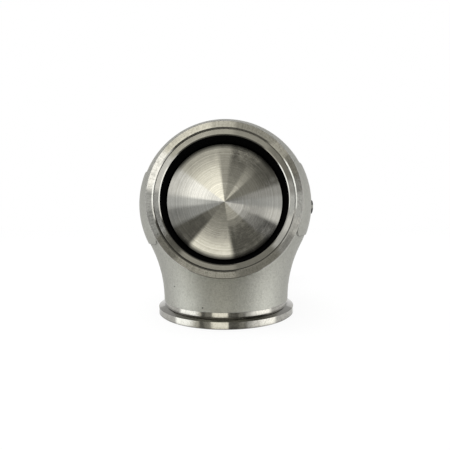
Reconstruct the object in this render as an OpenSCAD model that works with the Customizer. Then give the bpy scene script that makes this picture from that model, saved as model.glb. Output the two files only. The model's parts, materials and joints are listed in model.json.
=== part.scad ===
// Poppet-valve exhaust elbow with two clamp flanges and a diaphragm actuator.
// Origin: centre of the outlet face, which is the plane z = 0 that the part stands on.
// The inlet faces -Y, the outlet faces -Z and the actuator sits on the +Y side.

/* [Elbow layout] */
// Outer diameter of the round chamber
bulb_d = 100; // [97:1:108]
// Wall of the casting
wall = 5; // [4:0.1:6]
// Depth of the inlet face behind the front of the chamber's full sphere
inlet_inset = 2.5; // [0:0.1:4]
// Height of the chamber's lowest point above the outlet face
outlet_drop = 12.5; // [10:0.5:20]
// Distance from the back of the chamber to the casting's actuator face
rear_stand = 6; // [5:0.5:10]

/* [Outlet flange] */
// Bore of the outlet
outlet_bore_d = 63.6; // [60:0.2:66]
// Height of the outlet rim above its machined neck
outlet_rim_w = 3.5; // [3:0.1:5]
// Step from the machined outlet neck up to the cast skin
cast_step = 0.3; // [0.1:0.1:0.8]

/* [Inlet flange] */
// Wall between the seat ring's sleeve and the machined inlet neck
inlet_wall = 2.2; // [1.8:0.1:4]
// Height of the inlet rim above its machined neck
inlet_rim_w = 2.3; // [2:0.1:5]
// Chamfer round the mouth of the seat ring's pocket
mouth_chamfer = 0.5; // [0.2:0.1:0.8]

/* [Both clamp flanges] */
// Thickness of each rim at its outer edge
rim_t = 3.7; // [3:0.1:5]
// Angle of the clamp cone behind each rim
clamp_angle = 20; // [15:1:25]
// Length of the machined neck behind the outlet's clamp cone
band_l = 2.4; // [1.5:0.1:4]
// Chamfer on turned edges
edge_chamfer = 0.4; // [0.2:0.1:0.8]

/* [Casting] */
// Fillet between the chamber and its two side necks
cast_fillet = 4; // [2:0.5:6]
// Height of the side pads above the chamber's skin
pad_proud = 0.6; // [0.5:0.1:2]
// Height of a side pad
pad_h = 39.5; // [30:0.5:44]
// Width of a side pad along the inlet axis
pad_w = 42; // [24:0.5:46]
// Distance of a pad's middle from the middle of the chamber, towards the inlet
pad_offset = 10; // [0:0.5:12]
// Corner radius of a side pad
pad_corner = 5; // [2:0.5:8]
// Turn of the two side pads about the inlet axis
pad_tilt = 2.9; // [0:0.1:6]
// Diameter of the neck behind the chamber
rear_neck_d = 43; // [40:0.5:46]
// Thickness of the actuator flange of the casting
rear_flange_t = 7; // [5:0.5:8]
// Wall of the boss round the valve guide
guide_boss_wall = 4; // [3:0.1:6]
// Length of that boss inside the chamber
guide_boss_l = 15; // [8:0.5:20]

/* [Seat ring] */
// Bore of the seat ring
seat_bore_d = 60; // [56:0.5:62]
// Wall of the seat ring's sleeve
sleeve_wall = 2; // [1.6:0.1:3]
// Height of the front lip above the sleeve
lip_w = 0.9; // [0.5:0.1:1.5]
// Thickness of the front lip
lip_t = 3; // [2:0.1:4]
// Depth of the seat ring's front face below the inlet face
seat_recess = 0.8; // [0.6:0.1:2]
// Radial width of the valve seat
seat_w = 1.2; // [0.8:0.1:1.5]
// Gap between the seat and the closed valve
seat_gap = 0.15; // [0.1:0.05:0.3]

/* [Valve] */
// Depth of the valve's face below the inlet face
valve_depth = 12.7; // [9:0.1:15]
// Radial gap between the valve's nose and the seat ring's bore
nose_gap = 1; // [0.6:0.1:1.4]
// Width of the bevel between the valve's flat face and its nose
face_bevel = 2.4; // [1:0.1:4]
// Slope of that bevel from the flat face
bevel_angle = 30; // [15:1:50]
// Length of the valve's nose between its bevel and its seat cone
nose_land = 1.8; // [0.4:0.1:3]
// Radial gap between the valve head and the bore that it goes in through
head_gap = 0.3; // [0.2:0.05:0.4]
// Thickness of the valve head's rim
valve_rim_t = 1.6; // [1:0.1:3]
// Height of the shallow cone on the back of the head
tulip_lip = 1.2; // [0.6:0.1:3]
// Radius of the sweep from the head to the stem
tulip_r = 15; // [11:0.5:18]
// Diameter of the stem
stem_d = 8; // [7:0.1:9]
// Shoulder between the stem and its threaded end
stem_shoulder = 1; // [0.6:0.1:1.5]
// Length of thread that stands out of the stem nut
stem_tip = 1.6; // [1:0.1:4]

/* [Guide and seal] */
// Wall of the valve guide
guide_wall = 2; // [1.5:0.1:3]
// Length by which the guide stands out of its boss
guide_proud = 4; // [2:0.5:6]
// Chamfer at the chamber end of the guide
guide_chamfer = 1; // [0.4:0.1:1.4]
// Radial width of the stem seal
seal_w = 5; // [3.5:0.1:6]
// Thickness of the stem seal
seal_t = 3.3; // [2.5:0.1:4]
// Bevel on the front of the seal's lip
lip_front = 1; // [0.5:0.1:1.5]
// Thickness of the lip where it meets the stem
lip_edge = 0.8; // [0.4:0.1:1]
// Radial width of the bevel on the back of the lip
lip_back = 1.6; // [1:0.1:2.5]
// Thickness of the washer that keeps the seal
retainer_t = 1.5; // [1:0.1:2]

/* [Actuator base] */
// Thickness of the gasket under the actuator base
gasket_t = 1; // [0.6:0.1:2]
// Thickness of the base's foot
foot_t = 6.5; // [6:0.1:9]
// Length of the base's neck between its foot and its floor
neck_l = 10.5; // [8:0.5:16]
// Wall of the base's neck round the seal's pocket
neck_wall = 7; // [4:0.5:9]
// Height of a cooling fin above the neck
fin_w = 7; // [4:0.5:9]
// Thickness of a cooling fin
fin_t = 1.8; // [1:0.1:2.2]
// Number of cooling fins
fin_count = 2; // [1:1:3]
// Thickness of the floor under the diaphragm chamber
floor_t = 3.5; // [3:0.1:5]
// Inner diameter of the diaphragm chamber
chamber_d = 79; // [77:0.5:84]
// Wall of the diaphragm chamber
chamber_wall = 3.5; // [3:0.1:5]
// Width of the cone under the chamber's floor
floor_cone_w = 7; // [4:0.5:10]
// Height of the cone under the chamber's floor
floor_cone_h = 5; // [3:0.5:8]
// Chamfer inside the chamber's corners
inner_chamfer = 2; // [1:0.1:2.5]
// Thickness of the base's joint flange
base_flange_t = 5; // [4:0.1:7]

/* [Actuator cap] */
// Thickness of the cap's joint flange
cap_flange_t = 4.5; // [3.5:0.1:6]
// Thickness of the cap's top
cap_top_t = 4; // [3:0.1:6]
// Rounding of the cap's top edge
cap_round = 6; // [3:0.5:8]
// Diameter of the raised centre of the cap
cap_crown_d = 50; // [40:1:60]
// Height of the raised centre of the cap
cap_crown_h = 1.6; // [1:0.1:3]

/* [Moving parts of the actuator] */
// Travel of the valve
lift = 14; // [10:0.5:14]
// Thickness of the diaphragm
diaphragm_t = 1.3; // [1:0.1:1.5]
// Radial room for the diaphragm's roll between the pistons and the chamber's wall
roll_room = 6.9; // [6.5:0.1:9]
// Gap between the diaphragm's roll and what stands beside it
roll_gap = 0.4; // [0.3:0.05:0.8]
// Height of the roll's centre above the joint
roll_rise = 4; // [2:0.5:8]
// Thickness of a piston's plate
piston_t = 2.5; // [2:0.1:3]
// Chamfer on the outer edge of the lower piston
lower_chamfer = 2; // [0.5:0.1:2.2]
// Chamfer on the outer edge of the upper piston
upper_chamfer = 1; // [0.5:0.1:1.8]
// Height of the cup of the upper piston
cup_h = 13; // [10:0.5:15]
// Wall of the cup of the upper piston
cup_wall = 2.4; // [2:0.1:3]
// Clearance under the lower piston when the valve is shut
piston_gap = 1.5; // [1:0.1:2.5]
// Diameter of the washer under the stem nut
washer_d = 16; // [14:0.5:18]
// Thickness of the washer under the stem nut
washer_t = 1.5; // [1:0.1:2.5]
// Width of the stem nut across its flats
nut_af = 10; // [9.5:0.5:12]
// Thickness of the stem nut
nut_t = 5; // [4:0.5:6]

/* [Springs] */
// Length that the outer spring keeps above its solid length when the valve is fully open
spring_spare = 2.4; // [1:0.1:8]
// Wire diameter of the outer spring
outer_wire = 4.2; // [3.5:0.1:4.4]
// Gap between the outer spring and the wall of the cup
outer_spring_gap = 4.1; // [1:0.1:5]
// Turns of the outer spring
outer_turns = 5; // [4:0.25:5]
// Wire diameter of the inner spring
inner_wire = 3; // [2.4:0.1:3.2]
// Gap between the two springs
inner_spring_gap = 5.4; // [3:0.1:6]
// Turns of the inner spring
inner_turns = 6.5; // [5:0.25:6.5]
// Thickness of the seat plate above the springs
seat_plate_t = 1.6; // [1:0.1:2.5]
// Height of the seat plate's collar inside the inner spring
collar_h = 3; // [2:0.5:5]
// Wall of that collar
collar_wall = 2; // [1:0.1:3]
// Gap between that collar and the inner spring
collar_gap = 0.8; // [0.4:0.1:2]

/* [Screws] */
// Number of screws between the casting and the base
base_screw_count = 4; // [3:1:4]
// Thread diameter of those screws
base_screw_d = 6; // [5:0.5:6]
// Width by which their heads stand out round the shank
base_head_w = 1.75; // [1.5:0.05:2.2]
// Height of their heads
base_head_h = 4.5; // [4:0.1:5]
// Depth to which they reach into the base
base_screw_bite = 5; // [4:0.5:6]
// Gap between their heads and the casting's neck
base_head_gap = 1.75; // [1:0.05:3]
// Width of the casting's flange outside their heads
base_head_edge = 1.25; // [1:0.05:3]
// Number of screws round the cap
cap_screw_count = 8; // [6:1:12]
// Thread diameter of the cap screws
cap_screw_d = 4; // [3:0.5:5]
// Width by which their heads stand out round the shank
cap_head_w = 1.5; // [1.3:0.1:2]
// Height of their heads
cap_head_h = 4; // [3:0.1:5]
// Distance by which they end short of the underside of the base's joint flange
cap_screw_short = 0.5; // [0:0.1:2]
// Gap between their heads and the cap's wall
cap_head_gap = 1.7; // [1:0.1:3]
// Width of the cap's flange outside their heads
cap_head_edge = 1.3; // [1:0.1:3]

/* [Ports] */
// Thread diameter of the actuator ports
port_d = 8; // [7:0.5:9]
// Length of thread in a port
port_thread_l = 5; // [4:0.5:6]
// Height of a port's boss above the chamber's wall
port_stand = 5.5; // [5:0.5:8]
// Width of a boss round the hexagon that seats on it
port_edge = 1.15; // [1:0.05:2]
// Gap between the base port's hexagon and the joint flange
base_port_gap = 0.6; // [0.4:0.1:2]
// Height of the base port's axis above the chamber's floor
base_port_rise = 1.55; // [1.55:0.05:4]
// Gap between the cap screws' heads and the cap's port bosses
cap_port_gap = 1; // [0.4:0.1:2]
// Depth of a port's hole beyond its thread
port_run_out = 1; // [0.5:0.1:2]
// Width across the flats of a hose fitting, above its thread diameter
hex_grip = 3; // [2:0.5:4]
// Height of a hose fitting's hexagon
hex_h = 5; // [4:0.5:7]
// Bore of the hose fittings
barb_bore = 3; // [2:0.5:3.5]
// Outer diameter over the barbs
barb_d = 6.4; // [5.5:0.1:7.5]
// Height of one barb
barb_step = 0.6; // [0.4:0.1:0.8]
// Distance from one barb to the next
barb_pitch = 3; // [2:0.5:4]
// Width by which a port plug's head stands out round its thread
plug_head_w = 2; // [1.4:0.1:2.4]
// Height of the plugs' heads in the actuator ports
plug_head_h = 4; // [3:0.5:6]
// Thickness of the sealing rings in the ports
port_washer_t = 1; // [0.6:0.1:1.5]

/* [Plug in the right-hand pad] */
// Thread diameter of the plug
pad_plug_d = 6; // [5:0.5:7]
// Diameter of its head
pad_plug_head_d = 8.2; // [8:0.1:12]
// Height of its head
pad_plug_head_h = 2; // [1.5:0.1:4]
// Turn of the plug about the inlet axis, down from the horizontal
pad_plug_turn = 1.4; // [-4:0.1:6]
// Depth of the spot face under its sealing ring
pad_spot = 0.9; // [0.3:0.1:1.2]
// Thickness of its sealing ring
plug_washer_t = 0.5; // [0.4:0.1:1]

/* [Fits] */
// Running clearance between the stem and its guide, on the radius
stem_fit = 0.04; // [0.02:0.01:0.08]
// Clearance of parts that are pressed or slid in once, on the radius
seat_fit = 0.03; // [0.02:0.01:0.06]
// Clearance of a screw in its hole, on the radius
screw_gap = 0.3; // [0.2:0.05:0.5]
// Clearance of a spot face round a screw's head, on the radius
spot_gap = 0.2; // [0.1:0.1:1]
// Clearance of the stem in the actuator base, on the radius
stem_gap = 0.6; // [0.4:0.1:1]

/* [Hidden] */
$fn = 96;

// A cut runs this far past the solid that it cuts
past = 1;
// A fillet reaches this far into what it joins, so that their surfaces cross cleanly
fillet_sink = 0.15;
// Width across a screw's hexagon socket and its depth, as shares of the head
socket_width = 0.42;
socket_depth = 0.55;

// Elbow layout
bulb_r = bulb_d / 2;
inlet_y = inlet_inset - bulb_r;
inlet_height = bulb_r + outlet_drop;
rear_y = bulb_r + rear_stand;

// Outlet flange, its neck and the sweep that carries it into the round chamber
outlet_bore_r = outlet_bore_d / 2;
skin_r = outlet_bore_r + wall;
outlet_neck_r = skin_r - cast_step;
outlet_rim_r = outlet_neck_r + outlet_rim_w;
outlet_cone_h = outlet_rim_w * tan(clamp_angle);
skin_z = rim_t + outlet_cone_h + band_l;
skin_rise = inlet_height - skin_z;
sweep_r = (pow(skin_r, 2) + pow(skin_rise, 2) - pow(bulb_r, 2)) / (2 * (bulb_r - skin_r));
sweep_centre = [skin_r + sweep_r, skin_z];
sweep_turn = atan2(skin_rise, skin_r + sweep_r);

// Seat ring and inlet flange
seat_bore_r = seat_bore_d / 2;
sleeve_r = seat_bore_r + sleeve_wall;
lip_r = sleeve_r + lip_w;
pocket_r = lip_r + seat_fit;
lip_y = inlet_y + seat_recess;
inlet_neck_r = sleeve_r + inlet_wall;
inlet_rim_r = inlet_neck_r + inlet_rim_w;
inlet_cone_h = inlet_rim_w * tan(clamp_angle);

// Valve: each place along the axis is counted from the one before it
nose_r = seat_bore_r - nose_gap;
face_r = nose_r - face_bevel;
head_r = sleeve_r - head_gap;
stem_r = stem_d / 2;
stem_end_r = stem_r - stem_shoulder;
valve_y = inlet_y + valve_depth;
nose_y = valve_y + face_bevel * tan(bevel_angle);
cone_y = nose_y + nose_land;
head_y = cone_y + head_r - nose_r;
head_back_y = head_y + valve_rim_t;
seat_y = cone_y + nose_gap - seat_gap * sqrt(2);
ring_end_y = seat_y + seat_w;

// Screws
base_head_r = base_screw_d / 2 + base_head_w;
cap_head_r = cap_screw_d / 2 + cap_head_w;

// Rear of the casting, guide and seal
rear_neck_r = rear_neck_d / 2;
base_screw_ring = rear_neck_r + base_head_r + base_head_gap;
rear_flange_r = base_screw_ring + base_head_r + base_head_edge;
flange_front_y = rear_y - rear_flange_t;
guide_r = stem_r + guide_wall;
boss_y = bulb_r - wall - guide_boss_l;
guide_y = boss_y - guide_proud;
seal_r = stem_r + seal_w;
base_y = rear_y + gasket_t;
pocket_t = seal_t + retainer_t;

// Actuator base: its chamber is as deep as its port needs under the joint flange
port_hex_r = (port_d + hex_grip) / cos(30) / 2;
port_depth = base_flange_t + base_port_gap + port_hex_r;
port_boss_r = port_hex_r + port_edge;
chamber_depth = port_depth + base_port_rise;
floor_under_y = base_y + foot_t + neck_l;
floor_y = floor_under_y + floor_t;
joint_y = floor_y + chamber_depth;
neck_r = seal_r + neck_wall;
fin_pitch = neck_l / (fin_count + 1);
chamber_r = chamber_d / 2;
chamber_skin_r = chamber_r + chamber_wall;
cap_screw_ring = chamber_skin_r + cap_head_r + cap_head_gap;
joint_r = cap_screw_ring + cap_head_r + cap_head_edge;

// Stack of parts on the stem's end
lower_y = floor_y + piston_gap;
plate_y = lower_y + piston_t;
cup_y = plate_y + diaphragm_t;
cup_floor_y = cup_y + piston_t;
nut_y = cup_floor_y + washer_t;
stem_end_y = nut_y + nut_t + stem_tip;
piston_r = chamber_r - roll_room;
stack_bore_r = stem_end_r + seat_fit;

// Diaphragm's roll between the cup and the cap's wall
cap_y = joint_y + diaphragm_t;
roll_in = piston_r + roll_gap;
roll_out = chamber_r - roll_gap;
roll_r = (roll_out - roll_in) / 2;
roll_y = cap_y + roll_rise;

// Springs and cap
cap_flange_y = cap_y + cap_flange_t;
spring_l = lift + outer_turns * outer_wire + spring_spare;
spring_top_y = cup_floor_y + spring_l;
cap_roof_y = spring_top_y + seat_plate_t;
cap_top_y = cap_roof_y + cap_top_t;
outer_mean_r = piston_r - cup_wall - outer_spring_gap - outer_wire / 2;
inner_mean_r = outer_mean_r - outer_wire / 2 - inner_spring_gap - inner_wire / 2;
// The cap screws stand half a pitch from the ports
cap_screw_turn = 180 / cap_screw_count;

// Ports
port_reach = chamber_skin_r + port_stand;
base_port_y = joint_y - port_depth;
cap_port_y = cap_flange_y + cap_head_h + cap_port_gap + port_boss_r;
pad_flat = bulb_r + pad_proud - pad_spot;

// A solid turned about the inlet axis from a profile of [radius, y] points
module turned(points) {
    on_axis() rotate_extrude() polygon(points);
}

// Places children, drawn along +Z, on the inlet axis so that their +Z runs along +Y
module on_axis(y = 0) {
    translate([0, y, inlet_height]) rotate([-90, 0, 0]) children();
}

// Repeats children round the inlet axis
module around(count, radius, y, first = 0) {
    for (i = [0:count - 1])
        on_axis(y) rotate([0, 0, first + i * 360 / count]) translate([radius, 0, 0]) children();
}

// Repeats children on both sides of the actuator, drawn along +Z and turned to point outwards
module at_port(y, side) {
    translate([side * port_reach, y, inlet_height]) rotate([0, side * 90, 0]) children();
}

// Outline of the neck and chamber in the plane of [radius, height], taken in by inset
module chamber_outline(inset) {
    tangent_r = (bulb_r - inset) * cos(sweep_turn);
    tangent_z = inlet_height - (bulb_r - inset) * sin(sweep_turn);
    difference() {
        translate([0, skin_z]) square([tangent_r, tangent_z - skin_z]);
        translate(sweep_centre) circle(sweep_r + inset, $fn = 360);
    }
    intersection() {
        translate([0, inlet_height]) circle(bulb_r - inset, $fn = 360);
        translate([0, tangent_z]) square(2 * bulb_r);
    }
}

// Outer shape of the outlet: chamber, sweep, machined neck, clamp cone and rim
module outlet_shape() {
    rotate_extrude() {
        chamber_outline(0);
        polygon([
            [0, 0], [outlet_rim_r - edge_chamfer, 0], [outlet_rim_r, edge_chamfer], [outlet_rim_r, rim_t],
            [outlet_neck_r, rim_t + outlet_cone_h], [outlet_neck_r, skin_z], [0, skin_z]
        ]);
    }
}

// Inner shape of the casting: outlet bore, sweep and chamber
module passage() {
    rotate_extrude() {
        chamber_outline(wall);
        translate([0, -past]) square([outlet_bore_r, skin_z + past]);
    }
}

// Inlet neck with its clamp cone and rim
module inlet_shape() {
    turned([
        [0, inlet_y], [inlet_rim_r - edge_chamfer, inlet_y], [inlet_rim_r, inlet_y + edge_chamfer],
        [inlet_rim_r, inlet_y + rim_t], [inlet_neck_r, inlet_y + rim_t + inlet_cone_h],
        [inlet_neck_r, 0], [0, 0]
    ]);
}

// Neck and flange that carry the actuator
module rear_shape() {
    turned([
        [0, 0], [rear_neck_r, 0], [rear_neck_r, flange_front_y], [rear_flange_r, flange_front_y],
        [rear_flange_r, rear_y - edge_chamfer], [rear_flange_r - edge_chamfer, rear_y], [0, rear_y]
    ]);
}

// Fillet between the round chamber and a neck on the inlet axis; side is 1 for +Y, -1 for -Y
module chamber_fillet(side_neck_r, side) {
    centre_r = side_neck_r + cast_fillet - fillet_sink;
    centre_y = sqrt(pow(bulb_r + cast_fillet - fillet_sink, 2) - pow(centre_r, 2));
    share = bulb_r / (bulb_r + cast_fillet);
    on_axis() rotate_extrude() scale([1, side]) difference() {
        polygon([
            [side_neck_r - past, centre_y - cast_fillet - past], [side_neck_r - past, centre_y],
            [centre_r, centre_y], [centre_r * share, centre_y * share],
            [centre_r * share - past, centre_y * share - past]
        ]);
        translate([centre_r, centre_y]) circle(cast_fillet, $fn = 72);
    }
}

// Rounded outline of a side pad
module pad_outline() {
    square([pad_w, pad_h - 2 * pad_corner], center = true);
    square([pad_w - 2 * pad_corner, pad_h], center = true);
    for (x = [-1, 1], z = [-1, 1])
        translate([x * (pad_w / 2 - pad_corner), z * (pad_h / 2 - pad_corner)]) circle(pad_corner, $fn = 48);
}

// The two raised pads that follow the skin of the chamber
module side_pads() {
    translate([0, 0, inlet_height]) rotate([0, -pad_tilt, 0]) intersection() {
        sphere(bulb_r + pad_proud, $fn = 180);
        translate([0, -pad_offset, 0]) rotate([90, 0, 90])
            linear_extrude(2 * bulb_d, center = true) pad_outline();
    }
}

// Bores for the seat ring, the guide, the actuator's screws and the plug in the pad
module casting_bores() {
    on_axis(-bulb_r - past) cylinder(h = bulb_r + past, r = sleeve_r + seat_fit);
    on_axis(-bulb_r - past) cylinder(h = bulb_r + past + lip_y + lip_t, r = pocket_r);
    on_axis(inlet_y - past)
        cylinder(h = mouth_chamfer + past, r1 = pocket_r + mouth_chamfer + past, r2 = pocket_r);
    on_axis(guide_y) cylinder(h = rear_y, r = guide_r + seat_fit);
    around(base_screw_count, base_screw_ring, flange_front_y - past, 45)
        cylinder(h = rear_flange_t + 2 * past, r = base_screw_d / 2 + screw_gap);
    around(base_screw_count, base_screw_ring, flange_front_y - base_head_h, 45)
        cylinder(h = base_head_h, r = base_head_r + spot_gap);
    pad_plug_place() translate([0, 0, -wall - pad_proud - 2 * past])
        cylinder(h = wall + pad_proud + 3 * past, r = pad_plug_d / 2 + seat_fit);
}

// Places children on the face of the right-hand pad, their +Z pointing out of it
module pad_plug_place() {
    translate([0, 0, inlet_height]) rotate([0, 90 + pad_plug_turn, 0]) translate([0, 0, pad_flat]) children();
}

module valve_body() {
    color([0.53, 0.53, 0.5]) difference() {
        union() {
            difference() {
                union() {
                    outlet_shape();
                    inlet_shape();
                    rear_shape();
                    chamber_fillet(inlet_neck_r, -1);
                    chamber_fillet(rear_neck_r, 1);
                    side_pads();
                }
                passage();
            }
            on_axis(boss_y) cylinder(h = flange_front_y - boss_y, r = guide_r + guide_boss_wall);
        }
        casting_bores();
        pad_plug_place() cylinder(h = pad_spot + past, r = pad_plug_head_d / 2 + spot_gap);
    }
}

// Ring pressed into the inlet: a front lip, a sleeve and the 45 degree seat at its inner end
module seat_ring() {
    color([0.72, 0.71, 0.67]) turned([
        [seat_bore_r, lip_y + edge_chamfer], [seat_bore_r + edge_chamfer, lip_y],
        [lip_r - edge_chamfer, lip_y], [lip_r, lip_y + edge_chamfer], [lip_r, lip_y + lip_t],
        [sleeve_r, lip_y + lip_t], [sleeve_r, ring_end_y], [seat_bore_r + seat_w, ring_end_y],
        [seat_bore_r, seat_y]
    ]);
}

// Poppet valve: bevelled face, seat cone, swept back and stem with a threaded end
module valve() {
    sweep_y = head_back_y + tulip_lip + tulip_r;
    color([0.78, 0.77, 0.74]) union() {
        turned([
            [0, valve_y], [face_r, valve_y], [nose_r, nose_y],
            [nose_r, cone_y], [head_r, head_y], [head_r, head_back_y],
            [stem_r + tulip_r, head_back_y + tulip_lip], [0, head_back_y + tulip_lip]
        ]);
        on_axis() rotate_extrude() difference() {
            translate([0, head_back_y]) square([stem_r + tulip_r, tulip_lip + tulip_r]);
            translate([stem_r + tulip_r, sweep_y]) circle(tulip_r, $fn = 180);
        }
        turned([
            [0, valve_y + past], [stem_r, valve_y + past], [stem_r, lower_y],
            [stem_end_r, lower_y], [stem_end_r, stem_end_y - edge_chamfer],
            [stem_end_r - edge_chamfer, stem_end_y], [0, stem_end_y]
        ]);
    }
}

module valve_guide() {
    bore_r = stem_r + stem_fit;
    color([0.7, 0.56, 0.32]) turned([
        [bore_r, guide_y], [guide_r - guide_chamfer, guide_y], [guide_r, guide_y + guide_chamfer],
        [guide_r, rear_y], [bore_r, rear_y]
    ]);
}

// Soft ring with a thin lip round the stem
module stem_seal() {
    seal_y = base_y + retainer_t;
    lip_in_r = stem_r + stem_fit;
    color([0.12, 0.12, 0.12]) turned([
        [lip_in_r, seal_y + lip_front], [stem_r + lip_front, seal_y], [seal_r, seal_y],
        [seal_r, seal_y + seal_t], [stem_r + lip_back, seal_y + seal_t],
        [lip_in_r, seal_y + lip_front + lip_edge]
    ]);
}

module seal_retainer() {
    color([0.62, 0.62, 0.6]) turned([
        [stem_r + stem_gap, base_y], [seal_r, base_y],
        [seal_r, base_y + retainer_t], [stem_r + stem_gap, base_y + retainer_t]
    ]);
}

module base_gasket() {
    color([0.3, 0.3, 0.29]) difference() {
        on_axis(rear_y) cylinder(h = gasket_t, r = rear_flange_r);
        on_axis(rear_y - past) cylinder(h = gasket_t + 2 * past, r = stem_r + stem_gap);
        around(base_screw_count, base_screw_ring, rear_y - past, 45)
            cylinder(h = gasket_t + 2 * past, r = base_screw_d / 2 + screw_gap);
    }
}

// Outer shape of the base: foot, neck, swept floor, chamber wall and joint flange
module base_shape() {
    foot_top_y = base_y + foot_t;
    under_y = joint_y - base_flange_t;
    turned([
        [0, base_y], [rear_flange_r - edge_chamfer, base_y], [rear_flange_r, base_y + edge_chamfer],
        [rear_flange_r, foot_top_y - 2 * edge_chamfer], [rear_flange_r - 2 * edge_chamfer, foot_top_y],
        [neck_r, foot_top_y], [neck_r, floor_under_y], [chamber_skin_r - floor_cone_w, floor_under_y],
        [chamber_skin_r, floor_under_y + floor_cone_h], [chamber_skin_r, under_y],
        [joint_r - edge_chamfer, under_y], [joint_r, under_y + edge_chamfer], [joint_r, joint_y], [0, joint_y]
    ]);
    for (i = [1:fin_count])
        on_axis(foot_top_y + i * fin_pitch - fin_t / 2) cylinder(h = fin_t, r = neck_r + fin_w);
}

module actuator_base() {
    color([0.66, 0.67, 0.68]) difference() {
        union() {
            base_shape();
            for (side = [-1, 1]) port_boss(base_port_y, side);
        }
        turned([
            [0, floor_y], [chamber_r - inner_chamfer, floor_y], [chamber_r, floor_y + inner_chamfer],
            [chamber_r, joint_y + past], [0, joint_y + past]
        ]);
        on_axis(base_y - past) cylinder(h = pocket_t + past, r = seal_r + seat_fit);
        on_axis(base_y) cylinder(h = joint_y - base_y, r = stem_r + stem_gap);
        around(base_screw_count, base_screw_ring, base_y - past, 45)
            cylinder(h = base_screw_bite + 2 * past, r = base_screw_d / 2 + seat_fit);
        around(cap_screw_count, cap_screw_ring, joint_y - base_flange_t - past, cap_screw_turn)
            cylinder(h = base_flange_t + 2 * past, r = cap_screw_d / 2 + seat_fit);
        for (side = [-1, 1]) port_hole(base_port_y, side);
    }
}

// Round boss that carries a port, from inside the chamber's wall to the port's face
module port_boss(y, side) {
    root_l = port_reach - chamber_r - past;
    at_port(y, side) translate([0, 0, -root_l]) cylinder(h = root_l, r = port_boss_r);
}

// Threaded mouth of a port and the small bore behind it
module port_hole(y, side) {
    at_port(y, side) {
        translate([0, 0, -port_thread_l - port_run_out])
            cylinder(h = port_thread_l + port_run_out + past, r = port_d / 2 + seat_fit);
        translate([0, 0, chamber_r - port_reach - inner_chamfer - past])
            cylinder(h = port_reach, d = barb_bore);
    }
}

// Cap screw with a socket, drawn with the seat of its head at z = 0 and its shank along -Z
module socket_screw(d, length, head_r, head_h) {
    difference() {
        union() {
            translate([0, 0, -length]) cylinder(h = length, d = d, $fn = 48);
            cylinder(h = head_h, r = head_r, $fn = 48);
        }
        translate([0, 0, head_h * (1 - socket_depth)])
            cylinder(h = head_h, r = head_r * socket_width / cos(30), $fn = 6);
    }
}

// Screws from the casting's flange into the base
module base_screws() {
    color([0.2, 0.2, 0.2]) around(base_screw_count, base_screw_ring, flange_front_y, 45) mirror([0, 0, 1])
        socket_screw(base_screw_d, rear_flange_t + gasket_t + base_screw_bite, base_head_r, base_head_h);
}

// Screws from the cap's flange through the diaphragm into the base
module cap_screws() {
    color([0.2, 0.2, 0.2]) around(cap_screw_count, cap_screw_ring, cap_flange_y, cap_screw_turn)
        socket_screw(
            cap_screw_d, cap_flange_t + diaphragm_t + base_flange_t - cap_screw_short, cap_head_r, cap_head_h
        );
}

module lower_piston() {
    color([0.7, 0.7, 0.7]) turned([
        [stack_bore_r, lower_y], [piston_r - lower_chamfer, lower_y],
        [piston_r, lower_y + lower_chamfer], [piston_r, plate_y], [stack_bore_r, plate_y]
    ]);
}

// Rolling diaphragm: clamped rim, one roll that stands above the rim, side wall and centre
module diaphragm() {
    inner_wall_r = roll_in + diaphragm_t;
    color([0.16, 0.15, 0.14]) difference() {
        union() {
            turned([
                [stack_bore_r, plate_y], [inner_wall_r, plate_y], [inner_wall_r, roll_y],
                [roll_in, roll_y], [roll_in, cup_y], [stack_bore_r, cup_y]
            ]);
            turned([
                [roll_out - diaphragm_t, joint_y], [joint_r, joint_y], [joint_r, cap_y],
                [roll_out, cap_y], [roll_out, roll_y], [roll_out - diaphragm_t, roll_y]
            ]);
            on_axis() rotate_extrude() intersection() {
                difference() {
                    translate([roll_in + roll_r, roll_y]) circle(roll_r, $fn = 48);
                    translate([roll_in + roll_r, roll_y]) circle(roll_r - diaphragm_t, $fn = 48);
                }
                translate([roll_in, roll_y]) square([2 * roll_r, roll_r]);
            }
        }
        around(cap_screw_count, cap_screw_ring, joint_y - past, cap_screw_turn)
            cylinder(h = diaphragm_t + 2 * past, r = cap_screw_d / 2 + screw_gap);
    }
}

// Cup that carries the springs
module upper_piston() {
    color([0.7, 0.7, 0.7]) turned([
        [stack_bore_r, cup_y], [piston_r - upper_chamfer, cup_y], [piston_r, cup_y + upper_chamfer],
        [piston_r, cup_y + cup_h], [piston_r - cup_wall, cup_y + cup_h],
        [piston_r - cup_wall, cup_floor_y], [stack_bore_r, cup_floor_y]
    ]);
}

module piston_washer() {
    color([0.62, 0.62, 0.6]) difference() {
        on_axis(cup_floor_y) cylinder(h = washer_t, d = washer_d);
        on_axis(cup_floor_y - past) cylinder(h = washer_t + 2 * past, r = stack_bore_r);
    }
}

module stem_nut() {
    flat_r = nut_af / 2;
    corner_r = nut_af * 0.6;
    bevel = nut_af / 10;
    color([0.62, 0.62, 0.6]) difference() {
        intersection() {
            on_axis(nut_y) cylinder(h = nut_t, r = flat_r / cos(30), $fn = 6);
            turned([
                [0, nut_y], [flat_r, nut_y], [corner_r, nut_y + bevel],
                [corner_r, nut_y + nut_t - bevel], [flat_r, nut_y + nut_t], [0, nut_y + nut_t]
            ]);
        }
        on_axis(nut_y - past) cylinder(h = nut_t + 2 * past, r = stack_bore_r);
    }
}

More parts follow.
